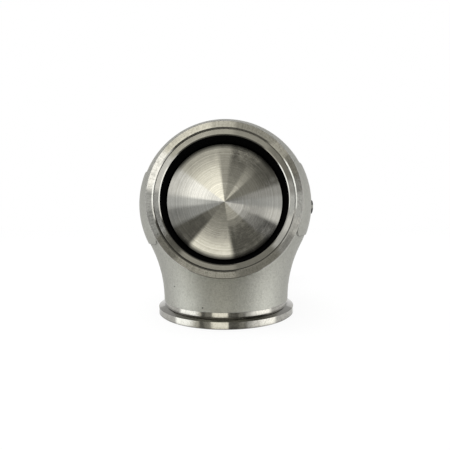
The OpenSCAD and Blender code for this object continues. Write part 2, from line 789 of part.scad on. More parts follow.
// Compression spring along +Z from z = 0, its ends closed and ground flat
module coil_spring(mean_r, wire, length, turns) {
    sides = 8;
    per_turn = 24;
    dead = 0.75;
    start = wire * 0.3;
    closed_pitch = wire * 1.04;
    open_rise = length - 2 * start - 2 * dead * closed_pitch;
    function height(t) =
        t < dead ? start + t * closed_pitch
        : t > turns - dead ? length - start - (turns - t) * closed_pitch
        : start + dead * closed_pitch + open_rise * (t - dead) / (turns - 2 * dead);
    steps = round(turns * per_turn);
    points = [
        for (i = [0:steps], s = [0:sides - 1])
            let (t = i / per_turn, r = mean_r + wire / 2 * cos(s * 360 / sides))
            [r * cos(t * 360), r * sin(t * 360), height(t) + wire / 2 * sin(s * 360 / sides)]
    ];
    skin = [
        for (i = [0:steps - 1], s = [0:sides - 1])
            let (n = (s + 1) % sides)
            [i * sides + s, i * sides + n, (i + 1) * sides + n, (i + 1) * sides + s]
    ];
    ends = [[for (s = [sides - 1:-1:0]) s], [for (s = [0:sides - 1]) steps * sides + s]];
    intersection() {
        polyhedron(points, concat(skin, ends), convexity = 10);
        cylinder(h = length, r = mean_r + 2 * wire);
    }
}

module outer_spring() {
    color([0.36, 0.38, 0.42]) on_axis(cup_floor_y)
        coil_spring(outer_mean_r, outer_wire, spring_l, outer_turns);
}

module inner_spring() {
    color([0.42, 0.44, 0.48]) on_axis(cup_floor_y)
        coil_spring(inner_mean_r, inner_wire, spring_l, inner_turns);
}

// Plate that spreads the springs' load over the cap's roof, with a collar inside the inner spring
module spring_seat() {
    plate_r = outer_mean_r + outer_wire;
    collar_r = inner_mean_r - inner_wire / 2 - collar_gap;
    collar_y = spring_top_y - collar_h;
    color([0.62, 0.62, 0.6]) turned([
        [collar_r - collar_wall, collar_y], [collar_r, collar_y], [collar_r, spring_top_y],
        [plate_r, spring_top_y], [plate_r, cap_roof_y], [collar_r - collar_wall, cap_roof_y]
    ]);
}

// Outline of the cap in the plane of [radius, y]: flange, wall, rounded edge and raised crown
module cap_outline() {
    round_centre = [chamber_skin_r - cap_round, cap_top_y - cap_round];
    polygon([
        [0, cap_y], [joint_r, cap_y], [joint_r, cap_flange_y - edge_chamfer],
        [joint_r - edge_chamfer, cap_flange_y], [chamber_skin_r, cap_flange_y],
        [chamber_skin_r, round_centre.y], round_centre, [round_centre.x, cap_top_y],
        [cap_crown_d / 2 + cap_crown_h, cap_top_y], [cap_crown_d / 2, cap_top_y + cap_crown_h],
        [0, cap_top_y + cap_crown_h]
    ]);
    translate(round_centre) intersection() {
        circle(cap_round, $fn = 72);
        square(cap_round);
    }
}

module actuator_cap() {
    color([0.66, 0.67, 0.68]) difference() {
        union() {
            on_axis() rotate_extrude() cap_outline();
            for (side = [-1, 1]) port_boss(cap_port_y, side);
        }
        turned([
            [0, cap_y - past], [chamber_r, cap_y - past], [chamber_r, cap_roof_y - inner_chamfer],
            [chamber_r - inner_chamfer, cap_roof_y], [0, cap_roof_y]
        ]);
        around(cap_screw_count, cap_screw_ring, cap_y - past, cap_screw_turn)
            cylinder(h = cap_flange_t + 2 * past, r = cap_screw_d / 2 + screw_gap);
        for (side = [-1, 1]) port_hole(cap_port_y, side);
    }
}

// Hose fitting along +Z: thread, hexagon and three barbs, with the bore right through
module hose_barb() {
    core_r = barb_d / 2 - barb_step;
    root_l = port_thread_l + port_washer_t;
    tip_z = hex_h + 4 * barb_pitch;
    difference() {
        union() {
            translate([0, 0, -root_l]) cylinder(h = root_l + hex_h / 2, d = port_d);
            cylinder(h = hex_h, r = port_hex_r, $fn = 6);
            cylinder(h = tip_z, r = core_r);
            for (i = [1:3]) translate([0, 0, hex_h + i * barb_pitch])
                cylinder(h = barb_pitch * 0.8, r1 = barb_d / 2, r2 = core_r - barb_step / 6);
        }
        translate([0, 0, -root_l - past]) cylinder(h = root_l + tip_z + 2 * past, d = barb_bore);
    }
}

module base_hose_barb() {
    color([0.72, 0.6, 0.34]) at_port(base_port_y, 1) translate([0, 0, port_washer_t]) hose_barb();
}

module cap_hose_barb() {
    color([0.72, 0.6, 0.34]) at_port(cap_port_y, 1) translate([0, 0, port_washer_t]) hose_barb();
}

// Port plug along +Z: thread, flanged head and hexagon socket
module port_plug() {
    socket_screw(port_d, port_thread_l + port_washer_t, port_d / 2 + plug_head_w, plug_head_h);
}

module base_port_plug() {
    color([0.2, 0.2, 0.2]) at_port(base_port_y, -1) translate([0, 0, port_washer_t]) port_plug();
}

module cap_port_plug() {
    color([0.2, 0.2, 0.2]) at_port(cap_port_y, -1) translate([0, 0, port_washer_t]) port_plug();
}

// Flat sealing ring along +Z from z = 0
module ring_washer(inner_r, outer_r, thickness) {
    difference() {
        cylinder(h = thickness, r = outer_r);
        translate([0, 0, -past]) cylinder(h = thickness + 2 * past, r = inner_r);
    }
}

module port_washers() {
    color([0.62, 0.4, 0.24]) for (y = [base_port_y, cap_port_y], side = [-1, 1])
        at_port(y, side) ring_washer(port_d / 2 + seat_fit, port_d / 2 + plug_head_w, port_washer_t);
}

module body_port_plug() {
    shank_l = pad_flat + plug_washer_t - bulb_r + wall;
    color([0.1, 0.1, 0.1]) pad_plug_place() translate([0, 0, plug_washer_t])
        socket_screw(pad_plug_d, shank_l, pad_plug_head_d / 2, pad_plug_head_h);
}

module body_plug_washer() {
    color([0.62, 0.4, 0.24]) pad_plug_place()
        ring_washer(pad_plug_d / 2 + seat_fit, pad_plug_head_d / 2, plug_washer_t);
}

valve_body();
seat_ring();
valve();
valve_guide();
stem_seal();
seal_retainer();
base_gasket();
actuator_base();
base_screws();
lower_piston();
diaphragm();
upper_piston();
piston_washer();
stem_nut();
outer_spring();
inner_spring();
spring_seat();
actuator_cap();
cap_screws();
base_hose_barb();
cap_hose_barb();
base_port_plug();
cap_port_plug();
port_washers();
body_port_plug();
body_plug_washer();
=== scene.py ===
import json
import math

import bmesh
import bpy
from mathutils import Matrix, Vector
from mathutils.bvhtree import BVHTree
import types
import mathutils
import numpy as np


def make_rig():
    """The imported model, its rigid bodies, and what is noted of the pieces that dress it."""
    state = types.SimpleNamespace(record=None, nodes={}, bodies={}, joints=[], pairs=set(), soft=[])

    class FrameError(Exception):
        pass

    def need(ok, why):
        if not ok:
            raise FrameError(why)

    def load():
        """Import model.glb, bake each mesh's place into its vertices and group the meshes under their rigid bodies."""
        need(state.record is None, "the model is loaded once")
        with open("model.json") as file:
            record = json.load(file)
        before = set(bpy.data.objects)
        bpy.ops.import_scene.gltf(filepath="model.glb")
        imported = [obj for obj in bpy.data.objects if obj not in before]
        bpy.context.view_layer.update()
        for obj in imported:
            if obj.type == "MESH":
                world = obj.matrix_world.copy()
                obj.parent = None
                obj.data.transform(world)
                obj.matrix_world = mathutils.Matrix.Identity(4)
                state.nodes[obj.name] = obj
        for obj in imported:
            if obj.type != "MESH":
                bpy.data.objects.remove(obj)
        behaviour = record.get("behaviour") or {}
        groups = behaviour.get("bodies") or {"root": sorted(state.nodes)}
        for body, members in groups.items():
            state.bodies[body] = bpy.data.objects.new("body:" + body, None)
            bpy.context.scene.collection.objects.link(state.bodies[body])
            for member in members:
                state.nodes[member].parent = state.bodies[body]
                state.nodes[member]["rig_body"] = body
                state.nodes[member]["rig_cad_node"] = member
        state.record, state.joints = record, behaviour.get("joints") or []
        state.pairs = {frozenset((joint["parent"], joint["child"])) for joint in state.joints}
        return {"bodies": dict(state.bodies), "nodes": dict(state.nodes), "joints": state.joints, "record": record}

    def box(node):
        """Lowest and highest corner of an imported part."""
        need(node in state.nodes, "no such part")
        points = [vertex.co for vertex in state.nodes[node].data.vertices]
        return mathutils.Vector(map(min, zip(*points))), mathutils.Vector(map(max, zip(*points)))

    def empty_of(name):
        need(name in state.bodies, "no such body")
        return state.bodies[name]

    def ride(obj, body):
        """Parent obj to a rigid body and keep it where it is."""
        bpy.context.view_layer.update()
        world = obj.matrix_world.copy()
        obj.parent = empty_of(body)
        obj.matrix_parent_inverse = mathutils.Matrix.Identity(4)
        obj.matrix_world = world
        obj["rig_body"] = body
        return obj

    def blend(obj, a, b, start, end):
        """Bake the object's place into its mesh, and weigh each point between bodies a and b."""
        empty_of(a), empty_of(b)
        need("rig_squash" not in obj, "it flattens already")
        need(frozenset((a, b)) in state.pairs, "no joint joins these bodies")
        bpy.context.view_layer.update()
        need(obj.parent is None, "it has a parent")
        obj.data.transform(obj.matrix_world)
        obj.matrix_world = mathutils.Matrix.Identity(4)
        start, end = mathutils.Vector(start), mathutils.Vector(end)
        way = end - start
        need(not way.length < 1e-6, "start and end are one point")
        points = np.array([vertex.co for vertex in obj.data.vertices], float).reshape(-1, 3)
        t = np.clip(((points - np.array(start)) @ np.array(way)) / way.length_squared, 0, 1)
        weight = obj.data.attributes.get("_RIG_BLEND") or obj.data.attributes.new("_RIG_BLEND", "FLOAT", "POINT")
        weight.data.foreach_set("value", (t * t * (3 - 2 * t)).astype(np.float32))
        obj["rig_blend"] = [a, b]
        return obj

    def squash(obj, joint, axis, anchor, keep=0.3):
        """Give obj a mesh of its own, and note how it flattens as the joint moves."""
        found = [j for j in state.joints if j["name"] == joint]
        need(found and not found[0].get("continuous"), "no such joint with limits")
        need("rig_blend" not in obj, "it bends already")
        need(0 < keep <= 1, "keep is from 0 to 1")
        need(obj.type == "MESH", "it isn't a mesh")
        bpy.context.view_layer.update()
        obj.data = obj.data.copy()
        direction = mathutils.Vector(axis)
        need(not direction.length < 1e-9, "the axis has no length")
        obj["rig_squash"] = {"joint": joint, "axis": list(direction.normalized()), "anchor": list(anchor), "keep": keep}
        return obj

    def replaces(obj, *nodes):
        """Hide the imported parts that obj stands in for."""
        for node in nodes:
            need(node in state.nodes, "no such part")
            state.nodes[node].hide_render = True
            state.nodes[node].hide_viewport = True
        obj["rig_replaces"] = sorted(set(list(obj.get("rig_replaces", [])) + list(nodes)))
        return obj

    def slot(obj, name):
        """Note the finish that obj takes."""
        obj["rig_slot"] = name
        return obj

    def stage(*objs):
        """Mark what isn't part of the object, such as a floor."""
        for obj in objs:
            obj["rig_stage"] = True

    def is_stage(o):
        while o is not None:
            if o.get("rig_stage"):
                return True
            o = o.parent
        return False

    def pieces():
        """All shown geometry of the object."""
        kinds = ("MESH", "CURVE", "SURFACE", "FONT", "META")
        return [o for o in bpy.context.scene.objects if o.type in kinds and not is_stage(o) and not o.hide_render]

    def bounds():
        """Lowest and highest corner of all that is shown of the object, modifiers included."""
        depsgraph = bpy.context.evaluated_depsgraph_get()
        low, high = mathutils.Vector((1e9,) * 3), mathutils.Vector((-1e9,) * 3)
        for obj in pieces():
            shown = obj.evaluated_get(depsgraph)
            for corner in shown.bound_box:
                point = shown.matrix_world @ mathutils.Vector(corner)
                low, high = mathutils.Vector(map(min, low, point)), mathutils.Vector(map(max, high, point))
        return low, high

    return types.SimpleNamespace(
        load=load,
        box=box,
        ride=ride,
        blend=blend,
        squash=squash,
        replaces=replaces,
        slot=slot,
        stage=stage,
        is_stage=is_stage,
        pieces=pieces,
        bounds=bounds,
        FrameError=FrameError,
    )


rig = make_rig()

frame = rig.load()
nodes = frame["nodes"]
CAD_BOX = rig.bounds()
MM = 0.001

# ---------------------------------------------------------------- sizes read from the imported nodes

BODY_LO, BODY_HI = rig.box("valve_body")
VALVE_LO, VALVE_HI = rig.box("valve")
SEAT_LO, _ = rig.box("seat_ring")
CAP_LO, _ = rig.box("actuator_cap")
DIAPHRAGM_LO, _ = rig.box("diaphragm")
LIFT = frame["record"]["behaviour"]["joints"][0]["range_m"][1]
INLET_CENTRE = Vector((0.0, BODY_LO.y, (VALVE_LO.z + VALVE_HI.z) / 2))
INLET_AXIS = Vector((0.0, 1.0, 0.0))
OUTLET_AXIS = Vector((0.0, 0.0, 1.0))
PLUG_AXIS = Vector((1.0, 0.0, 0.0))
REAR_FACE_Y = BODY_HI.y

# Sizes of the CAD source that no box gives: how far the turned skin of the inlet's and the outlet's
# flange reaches from its face, and the radii of the seat's bore and of the valve's flat face
INLET_RIM_DEPTH = 4.54 * MM
OUTLET_TURNED_HEIGHT = 7.36 * MM
SEAT_BORE_R = 30.0 * MM
VALVE_FACE_R = 26.6 * MM


def off_axis(place):
    """Distance of a place from the inlet's axis."""
    return math.hypot(place.x, place.z - INLET_CENTRE.z)


# ---------------------------------------------------------------- camera and image points

IMAGE_W = IMAGE_H = 450
IMAGE_L = max(IMAGE_W, IMAGE_H)
LENS = 25.29
SENSOR = 36.0
SHIFT_X = SHIFT_Y = 0.0
CAMERA_PLACE = Vector((0.00212, -0.19263, 0.05157))
CAMERA_PAN, CAMERA_TILT, CAMERA_ROLL = 0.719, -0.272, 0.457

# Image points in the photograph's frame, in pixels from its top left corner
POINTS = {
    "object_left": (139.2, None),
    "object_right": (313.0, None),
    "object_top": (None, 119.0),
    "object_bottom": (None, 330.5),
    "inlet_rim_left": (145.0, None),
    "inlet_rim_right": (303.6, None),
    "inlet_rim_top": (None, 120.6),
    "inlet_rim_bottom": (None, 279.2),
    "seat_bore_left": (158.9, None),
    "seat_bore_right": (289.5, None),
    "seat_bore_top": (None, 135.0),
    "seat_bore_bottom": (None, 265.6),
    "valve_nose_left": (167.3, None),
    "valve_nose_right": (282.4, None),
    "outlet_rim_left": (159.0, None),
    "outlet_rim_right": (293.1, None),
    "plug_head": (311.3, 207.0),
    "casting_pit_1": (202.5, 308.0),
    "casting_pit_2": (174.5, 286.5),
}


def make_camera():
    """Camera at the photograph's place, aimed by pan, tilt and roll in degrees."""
    data = bpy.data.cameras.new("camera")
    data.sensor_fit = "AUTO"
    data.sensor_width = SENSOR
    data.lens = LENS
    data.shift_x, data.shift_y = SHIFT_X, SHIFT_Y
    data.clip_start, data.clip_end = 0.01, 20.0
    camera = bpy.data.objects.new("camera", data)
    bpy.context.scene.collection.objects.link(camera)
    turn = (
        Matrix.Rotation(math.radians(CAMERA_PAN), 3, "Z")
        @ Matrix.Rotation(math.radians(CAMERA_TILT), 3, "X")
        @ Matrix.Rotation(math.radians(CAMERA_ROLL), 3, "Y")
    )
    look = Matrix.Rotation(math.radians(90), 3, "X")
    camera.matrix_world = Matrix.Translation(CAMERA_PLACE) @ (turn @ look).to_4x4()
    bpy.context.scene.camera = camera
    return camera


camera = make_camera()
CAMERA_TURN = camera.matrix_world.to_3x3()


def ray_of(x, y):
    """Direction in the scene of the ray through an image point."""
    aim = Vector((
        x - IMAGE_W / 2 + SHIFT_X * IMAGE_L,
        IMAGE_H / 2 - y + SHIFT_Y * IMAGE_L,
        -IMAGE_L * LENS / SENSOR,
    ))
    return (CAMERA_TURN @ aim).normalized()


def seen_at(place):
    """Image point at which a place in the scene shows."""
    arm = CAMERA_TURN.transposed() @ (place - CAMERA_PLACE)
    scale = IMAGE_L * LENS / SENSOR / -arm.z
    return (
        IMAGE_W / 2 - SHIFT_X * IMAGE_L + arm.x * scale,
        IMAGE_H / 2 + SHIFT_Y * IMAGE_L - arm.y * scale,
    )


def tree_of(carrier):
    """Search tree of a finished piece's surface."""
    return BVHTree.FromObject(carrier, bpy.context.evaluated_depsgraph_get())


NEAREST_STEPS = 8


def on_surface(tree, x, y):
    """Place and normal where an image point's ray meets a surface, or nearest to the ray on a miss."""
    ray = ray_of(x, y)
    place, normal, _, _ = tree.ray_cast(CAMERA_PLACE, ray)
    if place is None:
        reach = (INLET_CENTRE - CAMERA_PLACE).dot(ray)
        for _ in range(NEAREST_STEPS):
            place, normal, _, _ = tree.find_nearest(CAMERA_PLACE + ray * reach)
            reach = (place - CAMERA_PLACE).dot(ray)
    return place, normal


# ---------------------------------------------------------------- material graphs


class Graph:
    """Node tree of one material or of the world, written as formulas on its sockets."""

    def __init__(self, name, world=False):
        self.owner = bpy.data.worlds.new(name) if world else bpy.data.materials.new(name)
        self.owner.use_nodes = True
        self.tree = self.owner.node_tree
        self.tree.nodes.clear()
        self.output = "ShaderNodeOutputWorld" if world else "ShaderNodeOutputMaterial"
        if not world:
            self.place = self.node("ShaderNodeTexCoord", {}).outputs["Object"]
            self.normal = self.node("ShaderNodeNewGeometry", {}).outputs["Normal"]

    def node(self, kind, inputs, **settings):
        """Node of a kind, with its settings, and with its inputs linked to sockets or set to values."""
        made = self.tree.nodes.new(kind)
        for key, setting in settings.items():
            setattr(made, key, setting)
        for key, source in inputs.items():
            if isinstance(source, bpy.types.NodeSocket):
                self.tree.links.new(source, made.inputs[key])
            else:
                made.inputs[key].default_value = source
        return made

    def math(self, operation, *sources):
        """Result of an operation on single values."""
        return self.node("ShaderNodeMath", dict(enumerate(sources)), operation=operation).outputs[0]

    def vector(self, operation, *sources):
        """Result of an operation on vectors: a single value for a dot product or a length."""
        made = self.node("ShaderNodeVectorMath", dict(enumerate(sources)), operation=operation)
        single = operation in ("DOT_PRODUCT", "LENGTH")
        return made.outputs["Value" if single else "Vector"]

    def scaled(self, vector, factor):
        """Vector times a single value."""
        made = self.node("ShaderNodeVectorMath", {0: vector, "Scale": factor}, operation="SCALE")
        return made.outputs["Vector"]

    def between(self, value, low, high, to_low=0.0, to_high=1.0, smooth=True):
        """Value carried from the range low to high onto to_low to to_high, and held there outside it."""
        made = self.node(
            "ShaderNodeMapRange",
            {"Value": value, "From Min": low, "From Max": high, "To Min": to_low, "To Max": to_high},
            interpolation_type="SMOOTHSTEP" if smooth else "LINEAR",
        )
        return made.outputs["Result"]

    def noise(self, size, detail=3.0, roughness=0.55, place=None):
        """Noise from 0 to 1 whose patches are about size across, in metres."""
        place = self.place if place is None else place
        made = self.node(
            "ShaderNodeTexNoise",
            {"Vector": place, "Scale": 1.0 / size, "Detail": detail, "Roughness": roughness},
        )
        return made.outputs["Fac"]

    def line_noise(self, value, size, detail=2.0):
        """Noise along one value, with steps about size long, in metres."""
        made = self.node(
            "ShaderNodeTexNoise",
            {"W": value, "Scale": 1.0 / size, "Detail": detail, "Roughness": 0.6},
            noise_dimensions="1D",
        )
        return made.outputs["Fac"]

    def cells(self, size):
        """Distance from 0 to about 1 to the nearest point of a random scatter, size apart."""
        made = self.node("ShaderNodeTexVoronoi", {"Vector": self.place, "Scale": 1.0 / size})
        return made.outputs["Distance"]

    def blend(self, share, first, second):
        """Colour that goes from first to second as share goes from 0 to 1."""
        made = self.node("ShaderNodeMix", {0: share, 6: first, 7: second}, data_type="RGBA")
        return made.outputs[2]

    def lay(self, base, over, share, most):
        """Base colour with another laid over it by share times most."""
        return self.blend(self.math("MULTIPLY", share, most), base, over)

    def pick(self, share, first, second):
        """Vector that goes from first to second as share goes from 0 to 1."""
        made = self.node("ShaderNodeMix", {0: share, 4: first, 5: second}, data_type="VECTOR")
        return made.outputs[1]

    def edges(self, radius):
        """1 on the corners of the mesh and 0 elsewhere, for wear and for painted shade."""
        soft = self.node("ShaderNodeBevel", {"Radius": radius}, samples=4).outputs["Normal"]
        bend = self.math("SUBTRACT", 1.0, self.vector("DOT_PRODUCT", soft, self.normal))
        return self.between(bend, 0.02, 0.25)

    def bump(self, height, distance, normal=None, strength=1.0):
        """Normal of a relief as high as distance, in metres, on the surface or on another normal."""
        inputs = {"Height": height, "Distance": distance, "Strength": strength}
        if normal is not None:
            inputs["Normal"] = normal
        return self.node("ShaderNodeBump", inputs).outputs["Normal"]

    def shader(self, skin, roughness, normal, metallic=1.0, **sockets):
        """Principled surface; further sockets are given by name, with _ for each space."""
        inputs = {"Base Color": skin, "Roughness": roughness, "Normal": normal, "Metallic": metallic}
        inputs.update({key.replace("_", " "): source for key, source in sockets.items()})
        return self.node("ShaderNodeBsdfPrincipled", inputs).outputs["BSDF"]

    def mix(self, share, first, second):
        """Surface that goes from first to second as share goes from 0 to 1."""
        return self.node("ShaderNodeMixShader", {0: share, 1: first, 2: second}).outputs[0]

    def finish(self, surface):
        """The finished material or world, with this surface."""
        self.node(self.output, {"Surface": surface})
        return self.owner


class Turning:
    """Places and directions on a surface turned on a lathe about an axis."""

    def __init__(self, graph, centre, axis):
        self.graph = graph
        arm = graph.vector("SUBTRACT", graph.place, centre)
        self.along = graph.vector("DOT_PRODUCT", arm, axis)
        out = graph.vector("SUBTRACT", arm, graph.scaled(axis, self.along))
        self.radius = graph.vector("LENGTH", out)
        around = graph.vector("CROSS_PRODUCT", axis, out)
        self.outward = graph.vector("NORMALIZE", out)
        self.across = graph.vector("NORMALIZE", graph.vector("CROSS_PRODUCT", graph.normal, around))
        self.feed = graph.math("ADD", self.radius, self.along)

    def normal(self, tilt, groove, wander=0.25):
        """Normal of the tool marks: their flanks lean by tilt, as a slope, and vary by groove."""
        graph = self.graph
        fine = graph.line_noise(self.feed, 0.22 * MM, 3.0)
        broad = graph.line_noise(self.feed, 1.6 * MM, 2.0)
        fine, broad = graph.math("MULTIPLY", fine, 1.0 - wander), graph.math("MULTIPLY", broad, wander)
        marks = graph.math("ADD", fine, broad)
        swing = graph.math("MULTIPLY", graph.math("SUBTRACT", marks, 0.5), groove)
        slant = graph.scaled(self.across, graph.math("ADD", swing, tilt))
        return graph.vector("NORMALIZE", graph.vector("ADD", graph.normal, slant))

    def spokes(self, reach, size):
        """Noise in streaks that run out from the axis, about size wide at the radius reach."""
        return self.graph.noise(size, 4.0, 0.6, self.graph.scaled(self.outward, reach))


def colour(red, green, blue):
    """Opaque colour, in linear light."""
    return (red, green, blue, 1.0)


def speckled(graph, base, size, spread, broad_size=None):
    """Base colour with patches lighter and darker by spread."""
    level = graph.noise(size, 4.0, 0.6)
    if broad_size is not None:
        broad = graph.math("MULTIPLY", graph.noise(broad_size), 0.4)
        level = graph.math("ADD", graph.math("MULTIPLY", level, 0.6), broad)
    dark = colour(*(part * (1 - spread) for part in base))
    light = colour(*(min(1.0, part * (1 + spread)) for part in base))
    return graph.blend(graph.between(level, 0.3, 0.7), dark, light)


def slope_of(degrees):
    """Lean of the tool marks' flanks as a slope: outwards from the axis where positive."""
    return math.tan(math.radians(degrees))


STEEL = (0.64, 0.625, 0.575)
CAST = (0.56, 0.558, 0.505)
# What lies over the two: on the casting, on the turned steel, and on both
CAST_SPARKLE = colour(0.74, 0.74, 0.69)
CAST_BLOTCH = colour(0.22, 0.215, 0.19)
# Painted shade for the casting's edges and corners
CAST_EDGE_SHADE = colour(0.15, 0.145, 0.13)
STAIN = colour(0.40, 0.385, 0.33)
STREAK = colour(0.36, 0.35, 0.31)
SCUFF = colour(0.30, 0.295, 0.26)
TOOL_LINE = colour(0.34, 0.33, 0.29)
GLINT = colour(0.95, 0.94, 0.90)
FLANGE_EDGE = colour(0.86, 0.85, 0.82)
VALVE_EDGE = colour(0.84, 0.83, 0.80)
# Scale in the casting's pits; also painted shade on the outlet flange's upward faces
SCALE = colour(0.16, 0.155, 0.14)
# Painted shade for corners and gaps that ambient occlusion finds
CREVICE_SHADE = colour(0.07, 0.068, 0.06)

FACE_TILT_IN, FACE_TILT_OUT = slope_of(-3.0), slope_of(-16.0)
BEVEL_TILT = slope_of(-46.0)
FLANGE_TILT = slope_of(14.0)
SEAT_TILT = slope_of(17.4)
INNER_CHAMFER_TILT = slope_of(6.0)
OUTER_CHAMFER_TILT = slope_of(-81.5)
NECK_TILT = slope_of(-2.0)
TURNED_ROUGHNESS = 0.06


def cast_stainless():
    """Bead-blasted casting with turned clamp flanges, rear face and seat pocket."""
    graph = Graph("cast_stainless")
    height = graph.vector("DOT_PRODUCT", graph.place, OUTLET_AXIS)
    depth = graph.vector("DOT_PRODUCT", graph.place, INLET_AXIS)
    outlet = graph.math("LESS_THAN", height, OUTLET_TURNED_HEIGHT)
    inlet = graph.math("LESS_THAN", depth, BODY_LO.y + INLET_RIM_DEPTH)
    rear = graph.math("GREATER_THAN", depth, REAR_FACE_Y - 0.5 * MM)
    turned = graph.math("MAXIMUM", outlet, graph.math("MAXIMUM", inlet, rear))

    # Cast skin: bead-blasted grain, cloudy colour, a few pits, and painted shade in corners and along edges
    grain = graph.noise(0.75 * MM, 4.0, 0.7)
    skin = speckled(graph, CAST, 3.5 * MM, 0.05, 22 * MM)
    sparkle = graph.between(grain, 0.35, 0.72)
    skin = graph.lay(skin, CAST_SPARKLE, sparkle, 0.45)
    blotch = graph.between(graph.noise(1.1 * MM, 4.0, 0.7), 0.42, 0.7)
    skin = graph.lay(skin, CAST_BLOTCH, blotch, 0.25)
    pits = graph.between(graph.cells(5.5 * MM), 0.045, 0.02)
    skin = graph.lay(skin, SCALE, pits, 0.55)
    # Painted shade: the skin darkens in corners and gaps that ambient occlusion finds
    shelter = graph.node("ShaderNodeAmbientOcclusion", {"Distance": 2.5 * MM}, samples=8).outputs["AO"]
    skin = graph.blend(graph.between(shelter, 0.96, 0.6, 0.0, 0.9), skin, CREVICE_SHADE)
    # Painted shade: the casting darker along its edges and corners
    skin = graph.lay(skin, CAST_EDGE_SHADE, graph.edges(0.8 * MM), 0.6)
    relief = graph.math("SUBTRACT", grain, graph.math("MULTIPLY", pits, 0.8))
    skin_normal = graph.bump(relief, 0.12 * MM)
    skin_normal = graph.bump(graph.noise(9 * MM, 1.0), 0.25 * MM, skin_normal, 0.5)
    cast = graph.shader(skin, graph.between(grain, 0.3, 0.7, 0.5, 0.42), skin_normal)

    # Turned flanges: tool marks, stains, streaks outwards from the axis, scuffs, rubbed edges, painted shade in
    # corners, and painted shade on the outlet's upward faces
    inlet_marks = Turning(graph, INLET_CENTRE, INLET_AXIS)
    outlet_marks = Turning(graph, Vector((0.0, 0.0, 0.0)), OUTLET_AXIS)
    inward = graph.math("LESS_THAN", graph.vector("DOT_PRODUCT", graph.normal, inlet_marks.outward), -0.3)
    inlet_tilt = graph.node("ShaderNodeMix", {0: inward, 2: FLANGE_TILT, 3: INNER_CHAMFER_TILT}).outputs[0]
    spokes = inlet_marks.spokes(37 * MM, 0.9 * MM)
    waver = graph.between(spokes, 0.3, 0.7, -0.02, 0.02)
    inlet_normal = inlet_marks.normal(graph.math("ADD", inlet_tilt, waver), 0.05)
    outlet_normal = outlet_marks.normal(NECK_TILT, 0.04)
    steel = speckled(graph, STEEL, 2.2 * MM, 0.05, 14 * MM)
    stain = graph.between(graph.noise(6 * MM, 5.0, 0.7), 0.56, 0.74)
    steel = graph.lay(steel, STAIN, stain, 0.35)
    steel = graph.blend(graph.between(spokes, 0.45, 0.75, 0.0, 0.3), steel, STREAK)
    scuffs = graph.between(graph.noise(0.9 * MM, 5.0, 0.75), 0.48, 0.66)
    steel = graph.lay(steel, SCUFF, scuffs, graph.noise(14 * MM))
    lines = graph.line_noise(inlet_marks.feed, 0.35 * MM, 3.0)
    steel = graph.blend(graph.between(lines, 0.5, 0.75, 0.0, 0.3), steel, TOOL_LINE)
    steel = graph.lay(steel, FLANGE_EDGE, graph.edges(0.45 * MM), 0.5)
    # Painted shade: the turned steel darkens in corners and gaps that ambient occlusion finds
    steel = graph.blend(graph.between(shelter, 0.82, 0.5, 0.0, 0.7), steel, CREVICE_SHADE)
    # Painted shade: the outlet flange darker where it faces up, in the scale colour
    slope = graph.between(graph.vector("DOT_PRODUCT", graph.normal, OUTLET_AXIS), 0.5, 0.8, 0.0, 0.7)
    steel = graph.lay(steel, SCALE, outlet, slope)
    bright = graph.shader(
        steel,
        graph.between(graph.noise(4 * MM, 4.0, 0.7), 0.35, 0.7, TURNED_ROUGHNESS, TURNED_ROUGHNESS + 0.06),
        graph.pick(outlet, inlet_normal, outlet_normal),
        Anisotropic=1.0,
        Tangent=graph.pick(outlet, inlet_marks.across, outlet_marks.across),
    )
    return graph.finish(graph.mix(turned, cast, bright))


def turned_stainless(name, tilt_of, blackened):
    """Stainless steel turned about the inlet axis, with the lean of its tool marks and painted shade in matte black."""
    graph = Graph(name)
    marks = Turning(graph, INLET_CENTRE, INLET_AXIS)
    facing = graph.vector("DOT_PRODUCT", graph.normal, -INLET_AXIS)
    steel = speckled(graph, STEEL, 2.0 * MM, 0.04, 12 * MM)
    rings = graph.line_noise(marks.feed, 0.7 * MM, 3.0)
    steel = graph.blend(graph.between(rings, 0.4, 0.65, 0.0, 0.24), steel, TOOL_LINE)
    glints = graph.between(graph.line_noise(marks.feed, 0.3 * MM, 2.0), 0.58, 0.72, 0.0, 0.4)
    steel = graph.blend(glints, steel, GLINT)
    steel = graph.lay(steel, VALVE_EDGE, graph.edges(0.3 * MM), 0.5)
    surface = graph.shader(
        steel,
        graph.between(graph.noise(3 * MM, 4.0, 0.7), 0.35, 0.7, TURNED_ROUGHNESS, TURNED_ROUGHNESS + 0.04),
        marks.normal(tilt_of(graph, marks, facing), 0.06, 0.35),
        Anisotropic=1.0,
        Tangent=marks.across,
    )
    # Painted shade: a matte black surface, mixed in where blackened gives 1
    shade_black = graph.shader(
        speckled(graph, (0.003, 0.003, 0.003), 1.2 * MM, 0.5),
        graph.between(graph.noise(0.8 * MM), 0.3, 0.7, 0.7, 0.9),
        graph.bump(graph.noise(0.3 * MM), 0.03 * MM),
        metallic=0.0,
        Specular_IOR_Level=0.0,
    )
    return graph.finish(graph.mix(blackened(graph, marks), surface, shade_black))


def face_lean(graph, marks, facing):
    """Lean on the valve: more towards the rim of its face, and most on the bevel round it."""
    face = graph.between(marks.radius, 0.0, VALVE_FACE_R, FACE_TILT_IN, FACE_TILT_OUT, smooth=False)
    bevel = graph.math("MULTIPLY", graph.math("GREATER_THAN", facing, 0.8), BEVEL_TILT)
    front = graph.math("GREATER_THAN", facing, 0.9)
    return graph.node("ShaderNodeMix", {0: front, 2: bevel, 3: face}).outputs[0]


